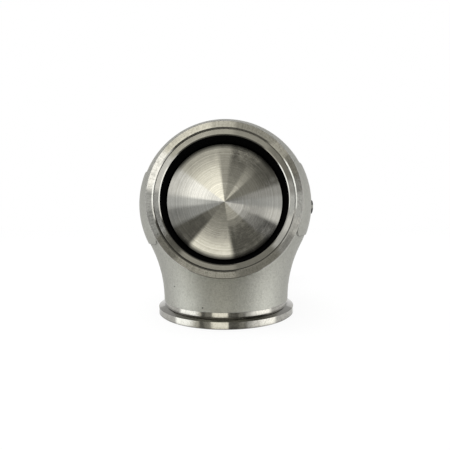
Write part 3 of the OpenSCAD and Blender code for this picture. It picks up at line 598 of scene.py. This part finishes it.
def seat_lean(graph, marks, facing):
    """Lean on the seat ring's front and on the chamfers at its bore and round its lip."""
    slope = graph.vector("DOT_PRODUCT", graph.normal, marks.outward)
    front = graph.math("MULTIPLY", graph.math("GREATER_THAN", facing, 0.9), SEAT_TILT)
    inner = graph.math("MULTIPLY", graph.math("COMPARE", slope, -0.7, 0.2), INNER_CHAMFER_TILT)
    outer = graph.math("MULTIPLY", graph.math("COMPARE", slope, 0.7, 0.2), OUTER_CHAMFER_TILT)
    return graph.math("ADD", front, graph.math("ADD", inner, outer))


def bevel_painted_shade(graph, marks):
    """Painted shade on the valve's bevel: matte black, stronger outwards, and above and below its sides, which stay
    bright.
    """
    bevel = graph.math("GREATER_THAN", marks.radius, VALVE_FACE_R)
    rise = graph.vector("DOT_PRODUCT", graph.vector("SUBTRACT", graph.place, INLET_CENTRE), OUTLET_AXIS)
    shade_band = graph.between(graph.math("ABSOLUTE", rise), 9 * MM, 20 * MM, 0.0, 0.9)
    ramp = graph.between(marks.radius, VALVE_FACE_R, VALVE_FACE_R + 2.2 * MM, 0.3, 1.0)
    return graph.math("MULTIPLY", bevel, graph.math("MULTIPLY", shade_band, ramp))


def bore_painted_shade(graph, marks):
    """Painted shade in the seat ring's bore, from just behind its bright front edge, and low round its lip."""
    inside = graph.math("LESS_THAN", marks.radius, SEAT_BORE_R + 0.6 * MM)
    behind = graph.math("GREATER_THAN", marks.along, SEAT_LO.y - BODY_LO.y + 0.45 * MM)
    slope = graph.vector("DOT_PRODUCT", graph.normal, marks.outward)
    low = graph.vector("DOT_PRODUCT", marks.outward, OUTLET_AXIS)
    chamfer = graph.math("COMPARE", slope, 0.7, 0.2)
    groove = graph.math("MULTIPLY", chamfer, graph.between(low, -0.15, -0.3, 0.0, 0.85))
    return graph.math("MAXIMUM", graph.math("MULTIPLY", inside, behind), groove)


def turned_metal(name, base, bright, roughness):
    """A metal turned about the inlet axis, worn to a brighter colour on its edges."""
    graph = Graph(name)
    marks = Turning(graph, INLET_CENTRE, INLET_AXIS)
    skin = speckled(graph, base, 2.4 * MM, 0.06, 18 * MM)
    rings = graph.line_noise(marks.feed, 0.5 * MM, 4.0)
    groove = colour(*(0.8 * part for part in base))
    skin = graph.blend(graph.between(rings, 0.3, 0.75, 0.0, 0.2), skin, groove)
    uneven = graph.between(graph.noise(2.5 * MM), 0.3, 0.6, 0.35, 1.0)
    wear = graph.math("MULTIPLY", graph.edges(0.35 * MM), uneven)
    skin = graph.lay(skin, colour(*bright), wear, 0.7)
    surface = graph.shader(
        skin,
        graph.between(graph.noise(3 * MM, 4.0, 0.7), 0.3, 0.7, roughness - 0.04, roughness + 0.06),
        marks.normal(0.0, 0.05),
        Anisotropic=0.8,
        Tangent=marks.across,
    )
    return graph.finish(surface)


def plain_metal(name, base, bright, roughness, spread=0.1, metallic=1.0):
    """A plated, blackened or drawn metal, worn to a brighter colour on its edges."""
    graph = Graph(name)
    skin = speckled(graph, base, 1.6 * MM, spread, 9 * MM)
    uneven = graph.between(graph.noise(1.2 * MM), 0.35, 0.6, 0.2, 1.0)
    wear = graph.math("MULTIPLY", graph.edges(0.25 * MM), uneven)
    skin = graph.lay(skin, colour(*bright), wear, 0.75)
    surface = graph.shader(
        skin,
        graph.between(graph.noise(1.5 * MM, 4.0, 0.7), 0.3, 0.7, roughness - 0.06, roughness + 0.08),
        graph.bump(graph.noise(0.5 * MM, 4.0, 0.6), 0.02 * MM),
        metallic=metallic,
    )
    return graph.finish(surface)


def rubber():
    """Matte fabric-backed rubber with a fine moulded grain."""
    graph = Graph("seal_rubber")
    skin = speckled(graph, (0.035, 0.034, 0.032), 1.5 * MM, 0.25, 12 * MM)
    bloom = graph.between(graph.noise(5 * MM, 5.0, 0.7), 0.5, 0.8)
    skin = graph.lay(skin, colour(0.11, 0.108, 0.10), bloom, 0.3)
    weave = graph.math("ADD", graph.noise(0.35 * MM, 2.0), graph.math("MULTIPLY", graph.cells(0.6 * MM), 0.5))
    surface = graph.shader(
        skin,
        graph.between(graph.noise(1.0 * MM), 0.3, 0.7, 0.55, 0.7),
        graph.bump(weave, 0.04 * MM),
        metallic=0.0,
        Specular_IOR_Level=0.4,
    )
    return graph.finish(surface)


def graphite():
    """Pressed graphite sheet with flakes and dark pores."""
    graph = Graph("graphite_gasket")
    skin = speckled(graph, (0.09, 0.09, 0.088), 0.8 * MM, 0.35, 6 * MM)
    flakes = graph.between(graph.cells(0.9 * MM), 0.25, 0.1)
    skin = graph.lay(skin, colour(0.24, 0.24, 0.235), flakes, 0.5)
    surface = graph.shader(
        skin,
        graph.between(graph.noise(0.9 * MM), 0.3, 0.7, 0.45, 0.65),
        graph.bump(graph.noise(0.5 * MM, 4.0), 0.05 * MM),
        metallic=0.35,
    )
    return graph.finish(surface)


def plug_steel():
    """Blackened steel of the pad's plug, with a painted highlight: a lighter band round the middle of its head's side.
    """
    graph = Graph("plug_steel")
    low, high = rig.box("body_port_plug")
    height = graph.vector("DOT_PRODUCT", graph.place, OUTLET_AXIS)
    rise = graph.math("SUBTRACT", height, (low.z + high.z) / 2)
    skin = speckled(graph, (0.045, 0.044, 0.042), 0.8 * MM, 0.4)
    # Painted highlight: a lighter band across the middle of the head's side
    highlight_band = graph.between(graph.math("ABSOLUTE", rise), 1.4 * MM, 0.7 * MM, 0.0, 0.85)
    facing = graph.math("ABSOLUTE", graph.vector("DOT_PRODUCT", graph.normal, PLUG_AXIS))
    skin = graph.lay(skin, colour(0.62, 0.61, 0.56), highlight_band, graph.between(facing, 0.8, 0.5))
    skin = graph.lay(skin, colour(0.30, 0.295, 0.27), graph.edges(0.25 * MM), 0.5)
    surface = graph.shader(
        skin,
        graph.between(graph.noise(1.0 * MM, 4.0, 0.7), 0.3, 0.7, 0.4, 0.6),
        graph.bump(graph.noise(0.4 * MM, 4.0, 0.6), 0.03 * MM),
        metallic=0.6,
    )
    return graph.finish(surface)


def pit_scale():
    """Dark scale left in a blister."""
    graph = Graph("pit_scale")
    skin = speckled(graph, (0.045, 0.043, 0.038), 0.3 * MM, 0.4)
    return graph.finish(graph.shader(skin, 0.7, graph.bump(graph.noise(0.15 * MM), 0.02 * MM), metallic=0.3))


MATERIALS = {
    "plug_steel": plug_steel(),
    "pit_scale": pit_scale(),
    "cast_stainless": cast_stainless(),
    "turned_stainless": turned_stainless("turned_stainless", face_lean, bevel_painted_shade),
    "seat_stainless": turned_stainless("seat_stainless", seat_lean, bore_painted_shade),
    "bronze": turned_metal("bronze", (0.55, 0.36, 0.16), (0.75, 0.55, 0.30), 0.3),
    "seal_rubber": rubber(),
    "zinc_steel": plain_metal("zinc_steel", (0.60, 0.61, 0.60), (0.80, 0.80, 0.78), 0.34),
    "graphite_gasket": graphite(),
    "machined_aluminium": turned_metal("machined_aluminium", (0.60, 0.61, 0.62), (0.82, 0.82, 0.82), 0.3),
    "black_steel": plain_metal("black_steel", (0.035, 0.035, 0.037), (0.34, 0.33, 0.31), 0.42, metallic=0.7),
    "spring_steel": plain_metal("spring_steel", (0.20, 0.215, 0.24), (0.42, 0.43, 0.44), 0.32),
    "brass": plain_metal("brass", (0.66, 0.47, 0.18), (0.85, 0.70, 0.38), 0.26, spread=0.07),
    "copper": plain_metal("copper", (0.62, 0.27, 0.14), (0.82, 0.46, 0.30), 0.32),
}
# Pieces that look other than their slot's material
OWN_FINISH = {"seat_ring": "seat_stainless", "body_port_plug": "plug_steel"}
for name, part in nodes.items():
    slot = part.material_slots[0].material.name
    part.material_slots[0].material = MATERIALS[OWN_FINISH.get(name, slot.split(".")[0])]


# ---------------------------------------------------------------- pieces made in mesh code


def piece_from(name, shape, material, slot, body=None, smooth=True):
    """Object from a bmesh, with its finish and, unless it bends between two, on its CAD body."""
    mesh = bpy.data.meshes.new(name)
    shape.normal_update()
    shape.to_mesh(mesh)
    shape.free()
    for face in mesh.polygons:
        face.use_smooth = smooth
    piece = bpy.data.objects.new(name, mesh)
    bpy.context.scene.collection.objects.link(piece)
    mesh.materials.append(MATERIALS[material])
    if body is not None:
        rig.ride(piece, body)
    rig.slot(piece, slot)
    return piece


def turned_about(place, normal):
    """Matrix that stands +Z on a surface's normal at a place."""
    return Matrix.Translation(place) @ normal.to_track_quat("Z", "Y").to_matrix().to_4x4()


def join_rings(shape, rings, tip):
    """Faces between closed rings of vertices, from the outermost to the one round the tip."""
    sides = len(rings[0])
    for outer, inner in zip(rings, rings[1:]):
        for i in range(sides):
            shape.faces.new((outer[i], outer[(i + 1) % sides], inner[(i + 1) % sides], inner[i]))
    for i in range(sides):
        shape.faces.new((rings[-1][i], rings[-1][(i + 1) % sides], tip))


PIT_SIDES = 20
# Share of the pit's radius, and rise as a share of its depth, from its foot over its lip to its hollow
PIT_RINGS = [(1.0, -0.10), (0.82, 0.30), (0.62, 0.34), (0.45, 0.05), (0.2, -0.02)]


def casting_pit(name, tree, point, radius, depth, stretch, seed):
    """Shallow open blister in the cast skin: a raised irregular lip round a dark hollow."""
    place, normal = on_surface(tree, *point)
    shape = bmesh.new()
    rings = []
    for share, rise in PIT_RINGS:
        row = []
        for i in range(PIT_SIDES):
            turn = 2 * math.pi * i / PIT_SIDES
            ragged = 1 + 0.12 * math.sin(3 * turn + seed) + 0.08 * math.sin(5 * turn + 2 * seed)
            reach = radius * share * ragged
            x, y = reach * stretch * math.cos(turn), reach * math.sin(turn)
            row.append(shape.verts.new((x, y, depth * rise)))
        rings.append(row)
    join_rings(shape, rings, shape.verts.new((0, 0, depth * PIT_RINGS[-1][1])))
    shape.faces.new(rings[0][::-1])
    shape.transform(turned_about(place, normal))
    return piece_from(name, shape, "pit_scale", "cast_stainless", "housing")


# Radius, depth, stretch and seed of the ragged edge of each pit
PIT_SIZES = {
    "casting_pit_1": (0.42 * MM, 0.12 * MM, 1.1, 0.4),
    "casting_pit_2": (0.32 * MM, 0.10 * MM, 1.9, 2.1),
}
body_tree = tree_of(nodes["valve_body"])
pits = {name: casting_pit(name, body_tree, POINTS[name], *size) for name, size in PIT_SIZES.items()}

# ---------------------------------------------------------------- pieces that follow the valve's lift

CAP_FACE_Y = CAP_LO.y
# Where the roll's half round stands on its two walls, and a radius between these
ROLL_Y = CAP_FACE_Y + 4.0 * MM
WALL_SPLIT_R = 36.0 * MM
# Just past the diaphragm's flat middle, which goes all the way with the pistons
CUP_Y = DIAPHRAGM_LO.y + 1.6 * MM
# Half the length of a blend so long that all of the roll goes half the way
FAR = 1.0


def pressed_spring(node):
    """Copy of a spring's solid that shortens towards the cap as the valve lifts."""
    low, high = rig.box(node)
    part = nodes[node]
    piece = bpy.data.objects.new(node + "_coil", part.data.copy())
    bpy.context.scene.collection.objects.link(piece)
    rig.ride(piece, "housing")
    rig.replaces(piece, node)
    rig.slot(piece, "spring_steel")
    length = high.y - low.y
    cap_end = (0.0, high.y, INLET_CENTRE.z)
    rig.squash(piece, "valve_lift", axis=INLET_AXIS, anchor=cap_end, keep=1 - LIFT / length)


def diaphragm_part(name, above, keep, start_y, end_y):
    """Part of the diaphragm's solid above or below its roll's centre, closed where it is cut."""
    shape = bmesh.new()
    shape.from_mesh(nodes["diaphragm"].data)
    bmesh.ops.remove_doubles(shape, verts=shape.verts[:], dist=1e-6)
    cut = bmesh.ops.bisect_plane(
        shape, geom=shape.verts[:] + shape.edges[:] + shape.faces[:], dist=1e-7,
        plane_co=(0.0, ROLL_Y, 0.0), plane_no=INLET_AXIS, clear_inner=above, clear_outer=not above,
    )["geom_cut"]
    rims = [edge for edge in cut if isinstance(edge, bmesh.types.BMEdge)]
    for wall in (True, False):
        ring = [edge for edge in rims if (off_axis(edge.verts[0].co) > WALL_SPLIT_R) == wall]
        bmesh.ops.triangle_fill(shape, edges=ring, use_beauty=True, normal=INLET_AXIS)
    bmesh.ops.delete(shape, geom=[vert for vert in shape.verts if not keep(vert.co)], context="VERTS")
    bmesh.ops.recalc_face_normals(shape, faces=shape.faces[:])
    piece = piece_from(name, shape, "seal_rubber", "seal_rubber", smooth=False)
    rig.replaces(piece, "diaphragm")
    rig.blend(piece, "housing", "valve_train", (0.0, start_y, 0.0), (0.0, end_y, 0.0))


pressed_spring("outer_spring")
pressed_spring("inner_spring")
# The roll goes half the way of the valve, and the walls beside it stretch and shorten to meet it
for name, above, keep, start_y, end_y in (
    ("diaphragm_roll", True, lambda co: True, ROLL_Y - FAR, ROLL_Y + FAR),
    ("diaphragm_rim", False, lambda co: off_axis(co) > WALL_SPLIT_R, CAP_FACE_Y, 2 * ROLL_Y - CAP_FACE_Y),
    ("diaphragm_centre", False, lambda co: off_axis(co) < WALL_SPLIT_R, 2 * ROLL_Y - CUP_Y, CUP_Y),
):
    diaphragm_part(name, above, keep, start_y, end_y)

# ---------------------------------------------------------------- floor, screen and lamps

FLOOR_STEPS, FLOOR_REACH = 24, 3.0
FLOOR_DROP = 0.02 * MM
FLOOR_WHITE = 0.92
FLOOR_GLOW = 1.04
# Share of the floor's own shading that the camera sees, and with it of the part's shadow
SHADOW_SHARE = 0.14


def seen_white(graph):
    """1 for rays that see the surroundings, straight or mirrored, and 0 for those that light the part."""
    paths = graph.node("ShaderNodeLightPath", {}).outputs
    seen = graph.math("MAXIMUM", paths["Is Camera Ray"], paths["Is Glossy Ray"])
    return graph.math("MAXIMUM", seen, paths["Is Transmission Ray"])


def make_floor():
    """Pale floor that shows white to the camera and keeps a part of the shadow."""
    shape = bmesh.new()
    marks = [FLOOR_REACH * (2 * i / FLOOR_STEPS - 1) for i in range(FLOOR_STEPS + 1)]
    grid = [[shape.verts.new((x, y, 0.0)) for x in marks] for y in marks]
    for near, far in zip(grid, grid[1:]):
        for i in range(FLOOR_STEPS):
            shape.faces.new((near[i], near[i + 1], far[i + 1], far[i]))
    mesh = bpy.data.meshes.new("floor")
    shape.to_mesh(mesh)
    shape.free()
    floor = bpy.data.objects.new("floor", mesh)
    floor.location.z = -FLOOR_DROP
    bpy.context.scene.collection.objects.link(floor)
    graph = Graph("floor")
    paper = graph.node("ShaderNodeBsdfDiffuse", {"Color": colour(FLOOR_WHITE, FLOOR_WHITE, FLOOR_WHITE)})
    glow = graph.node("ShaderNodeEmission", {"Color": colour(1, 1, 1), "Strength": FLOOR_GLOW})
    share = graph.math("MULTIPLY", seen_white(graph), 1.0 - SHADOW_SHARE)
    mesh.materials.append(graph.finish(graph.mix(share, paper.outputs[0], glow.outputs[0])))
    floor.visible_glossy = False
    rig.stage(floor)


WARM, PLAIN, COOL = (1.0, 0.98, 0.88), (1.0, 1.0, 0.98), (0.98, 1.0, 1.0)
# The light levels that the studio's panels use
BLACK, FLAG, GREY, WALL, PALE, BOX, LAMP = 0.1, 0.25, 0.4, 0.55, 0.8, 1.2, 1.6
# Studio screen round the camera: panels by their turn, in degrees anticlockwise from the right as the
# camera sees them, with a level for each of the screen's seven rings. The valve's marks lean inwards,
# so its face shows the three inner rings from the far side, and their panels stand half a turn round.
PANELS = [
    # name, from, to, three face rings, outlet, inlet, seat, outer, tint
    ("right wall", -13, 6, GREY, GREY, WALL, WALL, WALL, WALL, LAMP, COOL),
    ("right fade", 6, 18, FLAG, GREY, GREY, WALL, FLAG, GREY, BOX, PLAIN),
    ("right flag", 18, 36, FLAG, FLAG, BLACK, WALL, FLAG, FLAG, BLACK, WARM),
    ("upper right slit", 36, 50, PALE, GREY, BLACK, WALL, WALL, FLAG, BLACK, WARM),
    ("upper right flag", 50, 82, GREY, FLAG, BLACK, WALL, GREY, GREY, BLACK, WARM),
    ("upper wall", 82, 100, WALL, GREY, GREY, WALL, PALE, WALL, BLACK, WARM),
    ("upper left softbox", 100, 140, LAMP, BOX, WALL, WALL, BOX, WALL, FLAG, WARM),
    ("left softbox", 140, 170, BOX, LAMP, PALE, PALE, LAMP, PALE, WALL, PLAIN),
    ("left wall", 170, 186, WALL, PALE, WALL, WALL, WALL, GREY, BOX, COOL),
    ("left fade", 186, 206, GREY, GREY, FLAG, WALL, GREY, FLAG, LAMP, COOL),
    ("lower left flag", 206, 229, FLAG, BLACK, BLACK, BLACK, FLAG, BLACK, WALL, WARM),
    ("lower softbox", 229, 279, FLAG, GREY, BOX, BOX, GREY, GREY, BLACK, WARM),
    ("lower right flag", 279, 317, WALL, BLACK, BLACK, BLACK, FLAG, FLAG, BLACK, WARM),
    ("lower right wall", 317, 334, PALE, FLAG, BLACK, WALL, FLAG, WALL, PALE, PLAIN),
    ("right strip", 334, 347, PALE, GREY, PALE, PALE, WALL, PALE, LAMP, PLAIN),
]
# Where one ring gives way to the next, in degrees off the screen's axis
RING_EDGES = [(11.0, 13.0), (16.3, 18.5), (23.0, 25.0), (36.5, 38.5), (44.8, 46.2), (50.5, 53.0)]
FACE_RINGS = 3
# Edges of panels that stand a little round from the others in the face's rings
FACE_EDGES = {-13: -8, 36: 43, 50: 57, 100: 97, 140: 143, 170: 172, 229: 231, 279: 278, 334: 337, 347: 352}
# The same in the outer ring, which the outlet's bands show
OUTER_EDGES = {206: 210, 334: 331}
# Half the width of the fade between two panels, in degrees
PANEL_BLUR = 2.4
# Strength of the screen's light; the ramps hold levels as shares of it, which stay within 1
LEVEL_SCALE = 2.2
# The screen's radius, and how far it reaches round from its axis, in degrees
SCREEN_REACH = 0.9
SCREEN_EDGE = 150.0
SCREEN_TURNS, SCREEN_STEPS = 72, 36
# Beside the part the panels give way to an even flag
SIDE_EDGE = (88.0, 96.0)
SIDE_FLAG = 0.62
# The screen's axis is the way a flat face on the inlet's axis sends the camera's own line of sight
SCREEN_AXIS = Vector((
    INLET_CENTRE.x - CAMERA_PLACE.x,
    CAMERA_PLACE.y - INLET_CENTRE.y,
    INLET_CENTRE.z - CAMERA_PLACE.z,
))


def ring_ramp(graph, turn, ring):
    """Colours of one ring of the screen, by the turn about the axis as a share of a full one."""
    moved = FACE_EDGES if ring < FACE_RINGS else OUTER_EDGES if ring == len(RING_EDGES) else {}
    stops = []
    for _, first, last, *levels, tint in PANELS:
        first, last = moved.get(first, first), moved.get(last, last)
        tone = colour(*(levels[ring] / LEVEL_SCALE * part for part in tint))
        for edge in (first + PANEL_BLUR, last - PANEL_BLUR):
            stops.append(((edge % 360) / 360, tone))
    # The first panel lies over the place where the turn starts again
    tone = stops[0][1]
    stops.sort(key=lambda stop: stop[0])
    ramp = graph.node("ShaderNodeValToRGB", {0: turn})
    elements = ramp.color_ramp.elements
    elements[0].position, elements[0].color = 0.0, tone
    elements[1].position, elements[1].color = 1.0, tone
    for place, tone in stops:
        elements.new(place).color = tone
    return ramp.outputs["Color"]


def make_screen():
    """Screen of pale panels and dark flags round the camera. Only reflections see it."""
    shape = bmesh.new()
    tip = shape.verts.new((0, -SCREEN_REACH, 0))
    turns = [2 * math.pi * i / SCREEN_TURNS for i in range(SCREEN_TURNS)]
    rings = []
    for j in range(1, SCREEN_STEPS + 1):
        off = math.radians(SCREEN_EDGE * j / SCREEN_STEPS)
        rings.append([
            shape.verts.new((
                SCREEN_REACH * math.sin(off) * math.cos(turn),
                -SCREEN_REACH * math.cos(off),
                SCREEN_REACH * math.sin(off) * math.sin(turn),
            ))
            for turn in turns
        ])
    join_rings(shape, rings[::-1], tip)
    mesh = bpy.data.meshes.new("studio_screen")
    shape.to_mesh(mesh)
    shape.free()
    screen = bpy.data.objects.new("studio_screen", mesh)
    screen.location = INLET_CENTRE
    screen.rotation_mode = "QUATERNION"
    screen.rotation_quaternion = (-INLET_AXIS).rotation_difference(SCREEN_AXIS)
    bpy.context.scene.collection.objects.link(screen)

    graph = Graph("studio_screen")
    split = graph.node("ShaderNodeSeparateXYZ", {0: graph.vector("NORMALIZE", graph.place)}).outputs
    turn = graph.math("DIVIDE", graph.math("ARCTAN2", split[2], split[0]), 2 * math.pi)
    turn = graph.math("FRACT", graph.math("ADD", turn, 1.0))
    far_turn = graph.math("FRACT", graph.math("ADD", turn, 0.5))
    off = graph.math("DEGREES", graph.math("ARCCOSINE", graph.math("MULTIPLY", split[1], -1.0)))
    light = ring_ramp(graph, far_turn, 0)
    for ring, edge in enumerate(RING_EDGES, 1):
        further = ring_ramp(graph, far_turn if ring < FACE_RINGS else turn, ring)
        light = graph.blend(graph.between(off, *edge), light, further)
    side = SIDE_FLAG / LEVEL_SCALE
    light = graph.blend(graph.between(off, *SIDE_EDGE), light, colour(side, side, side))
    glow = graph.node("ShaderNodeEmission", {"Color": light, "Strength": LEVEL_SCALE})
    mesh.materials.append(graph.finish(glow.outputs[0]))
    screen.visible_camera = False
    screen.visible_diffuse = False
    screen.visible_shadow = False
    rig.stage(screen)


WORLD_LEVEL = 0.8


def make_world():
    """World that shows white behind the part and lights it softly."""
    graph = Graph("world", world=True)
    strength = graph.between(seen_white(graph), 0.0, 1.0, WORLD_LEVEL, 1.0, smooth=False)
    glow = graph.node("ShaderNodeBackground", {"Color": colour(1, 1, 1), "Strength": strength})
    bpy.context.scene.world = graph.finish(glow.outputs[0])


def make_lamp(name, place, target, size, power):
    """Soft square lamp aimed at a place."""
    data = bpy.data.lights.new(name, "AREA")
    data.shape = "SQUARE"
    data.size = size
    data.energy = power
    lamp = bpy.data.objects.new(name, data)
    lamp.location = place
    lamp.rotation_mode = "QUATERNION"
    lamp.rotation_quaternion = (Vector(target) - Vector(place)).to_track_quat("-Z", "Y")
    lamp.visible_glossy = False
    bpy.context.scene.collection.objects.link(lamp)


make_floor()
make_screen()
make_world()
CENTRE = (CAD_BOX[0] + CAD_BOX[1]) / 2
TOP_LAMP_PLACE = (-0.15, -0.1, 0.8)
TOP_LAMP_SIZE, TOP_LAMP_POWER = 0.5, 2.0
make_lamp("top_lamp", TOP_LAMP_PLACE, CENTRE, TOP_LAMP_SIZE, TOP_LAMP_POWER)

# ---------------------------------------------------------------- how well the points are met

# Bounds that single out the vertices of a rim or an edge
RIM_DEPTH = 2 * MM
RIM_R = 35 * MM
BORE_DEPTH, BORE_SPARE = 0.6 * MM, 0.2 * MM
NOSE_R = 28.8 * MM
OUTLET_RIM_HEIGHT, OUTLET_RIM_R = 4 * MM, 39 * MM
# A surface this near before a place is the place's own
OWN_SURFACE = 0.3 * MM


def shown_vertices(part, keep=lambda co: True):
    """Image points of a piece's finished vertices that pass keep, whatever stands before them."""
    shape = part.evaluated_get(bpy.context.evaluated_depsgraph_get())
    return [seen_at(shape.matrix_world @ v.co) for v in shape.data.vertices if keep(v.co)]


def in_view(places, trees):
    """Image points of those places that nothing hides from the camera."""
    kept = []
    for place in places:
        arm = place - CAMERA_PLACE
        hits = (tree.ray_cast(CAMERA_PLACE, arm.normalized(), arm.length - OWN_SURFACE)[0] for tree in trees)
        if all(hit is None for hit in hits):
            kept.append(seen_at(place))
    return kept


def spread(points):
    """Least and largest x, and least and largest y, of image points."""
    xs, ys = [point[0] for point in points], [point[1] for point in points]
    return min(xs), max(xs), min(ys), max(ys)


def measure_points():
    """Image point at which each named thing shows."""
    graph = bpy.context.evaluated_depsgraph_get()
    bpy.context.view_layer.update()
    parts = [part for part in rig.pieces() if part.type == "MESH"]
    trees = [BVHTree.FromObject(part, graph) for part in parts]

    def visible(part, keep=lambda co: True):
        places = [part.matrix_world @ v.co for v in part.evaluated_get(graph).data.vertices if keep(v.co)]
        return in_view(places, trees)

    def on_rim(co):
        return co.y < BODY_LO.y + RIM_DEPTH and off_axis(co) > RIM_R

    def on_bore(co):
        return co.y < SEAT_LO.y + BORE_DEPTH and off_axis(co) < SEAT_BORE_R + BORE_SPARE

    def on_outlet_rim(co):
        return co.z < OUTLET_RIM_HEIGHT and math.hypot(co.x, co.y) > OUTLET_RIM_R

    everything = [point for part in parts for point in shown_vertices(part)]
    inlet_rim = visible(nodes["valve_body"], on_rim)
    bore = visible(nodes["seat_ring"], on_bore)
    nose = visible(nodes["valve"], lambda co: off_axis(co) > NOSE_R)
    outlet_rim = shown_vertices(nodes["valve_body"], on_outlet_rim)
    outlines = {
        "object": everything,
        "inlet_rim": inlet_rim,
        "seat_bore": bore,
        "valve_nose": nose,
        "outlet_rim": outlet_rim,
    }
    shown = {}
    for name, points in outlines.items():
        for side, place in zip(("left", "right", "top", "bottom"), spread(points)):
            shown[name + "_" + side] = place
    for name, part in {"plug_head": nodes["body_port_plug"], **pits}.items():
        left, right, top, bottom = spread(visible(part))
        shown[name] = ((left + right) / 2, (top + bottom) / 2)
    return shown


def write_points():
    """How far each thing shows from its image point, in pixels."""
    shown, rows = measure_points(), {}
    for name, (x, y) in POINTS.items():
        found = shown[name]
        if x is not None and y is not None:
            rows[name] = {"dx": round(found[0] - x, 2), "dy": round(found[1] - y, 2)}
        elif x is not None:
            rows[name] = {"dx": round(found - x, 2)}
        else:
            rows[name] = {"dy": round(found - y, 2)}
    with open("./points.json", "w") as file:
        json.dump(rows, file, indent=1)


try:
    write_points()
except (ValueError, RuntimeError) as problem:
    print("points.json wasn't written:", problem)

# ---------------------------------------------------------------- view settings and sizes

bpy.context.scene.view_settings.view_transform = "Standard"
with open("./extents.json", "w") as file:
    json.dump({
        "cad": [list(corner) for corner in CAD_BOX],
        "visual": [list(corner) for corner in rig.bounds()],
    }, file)
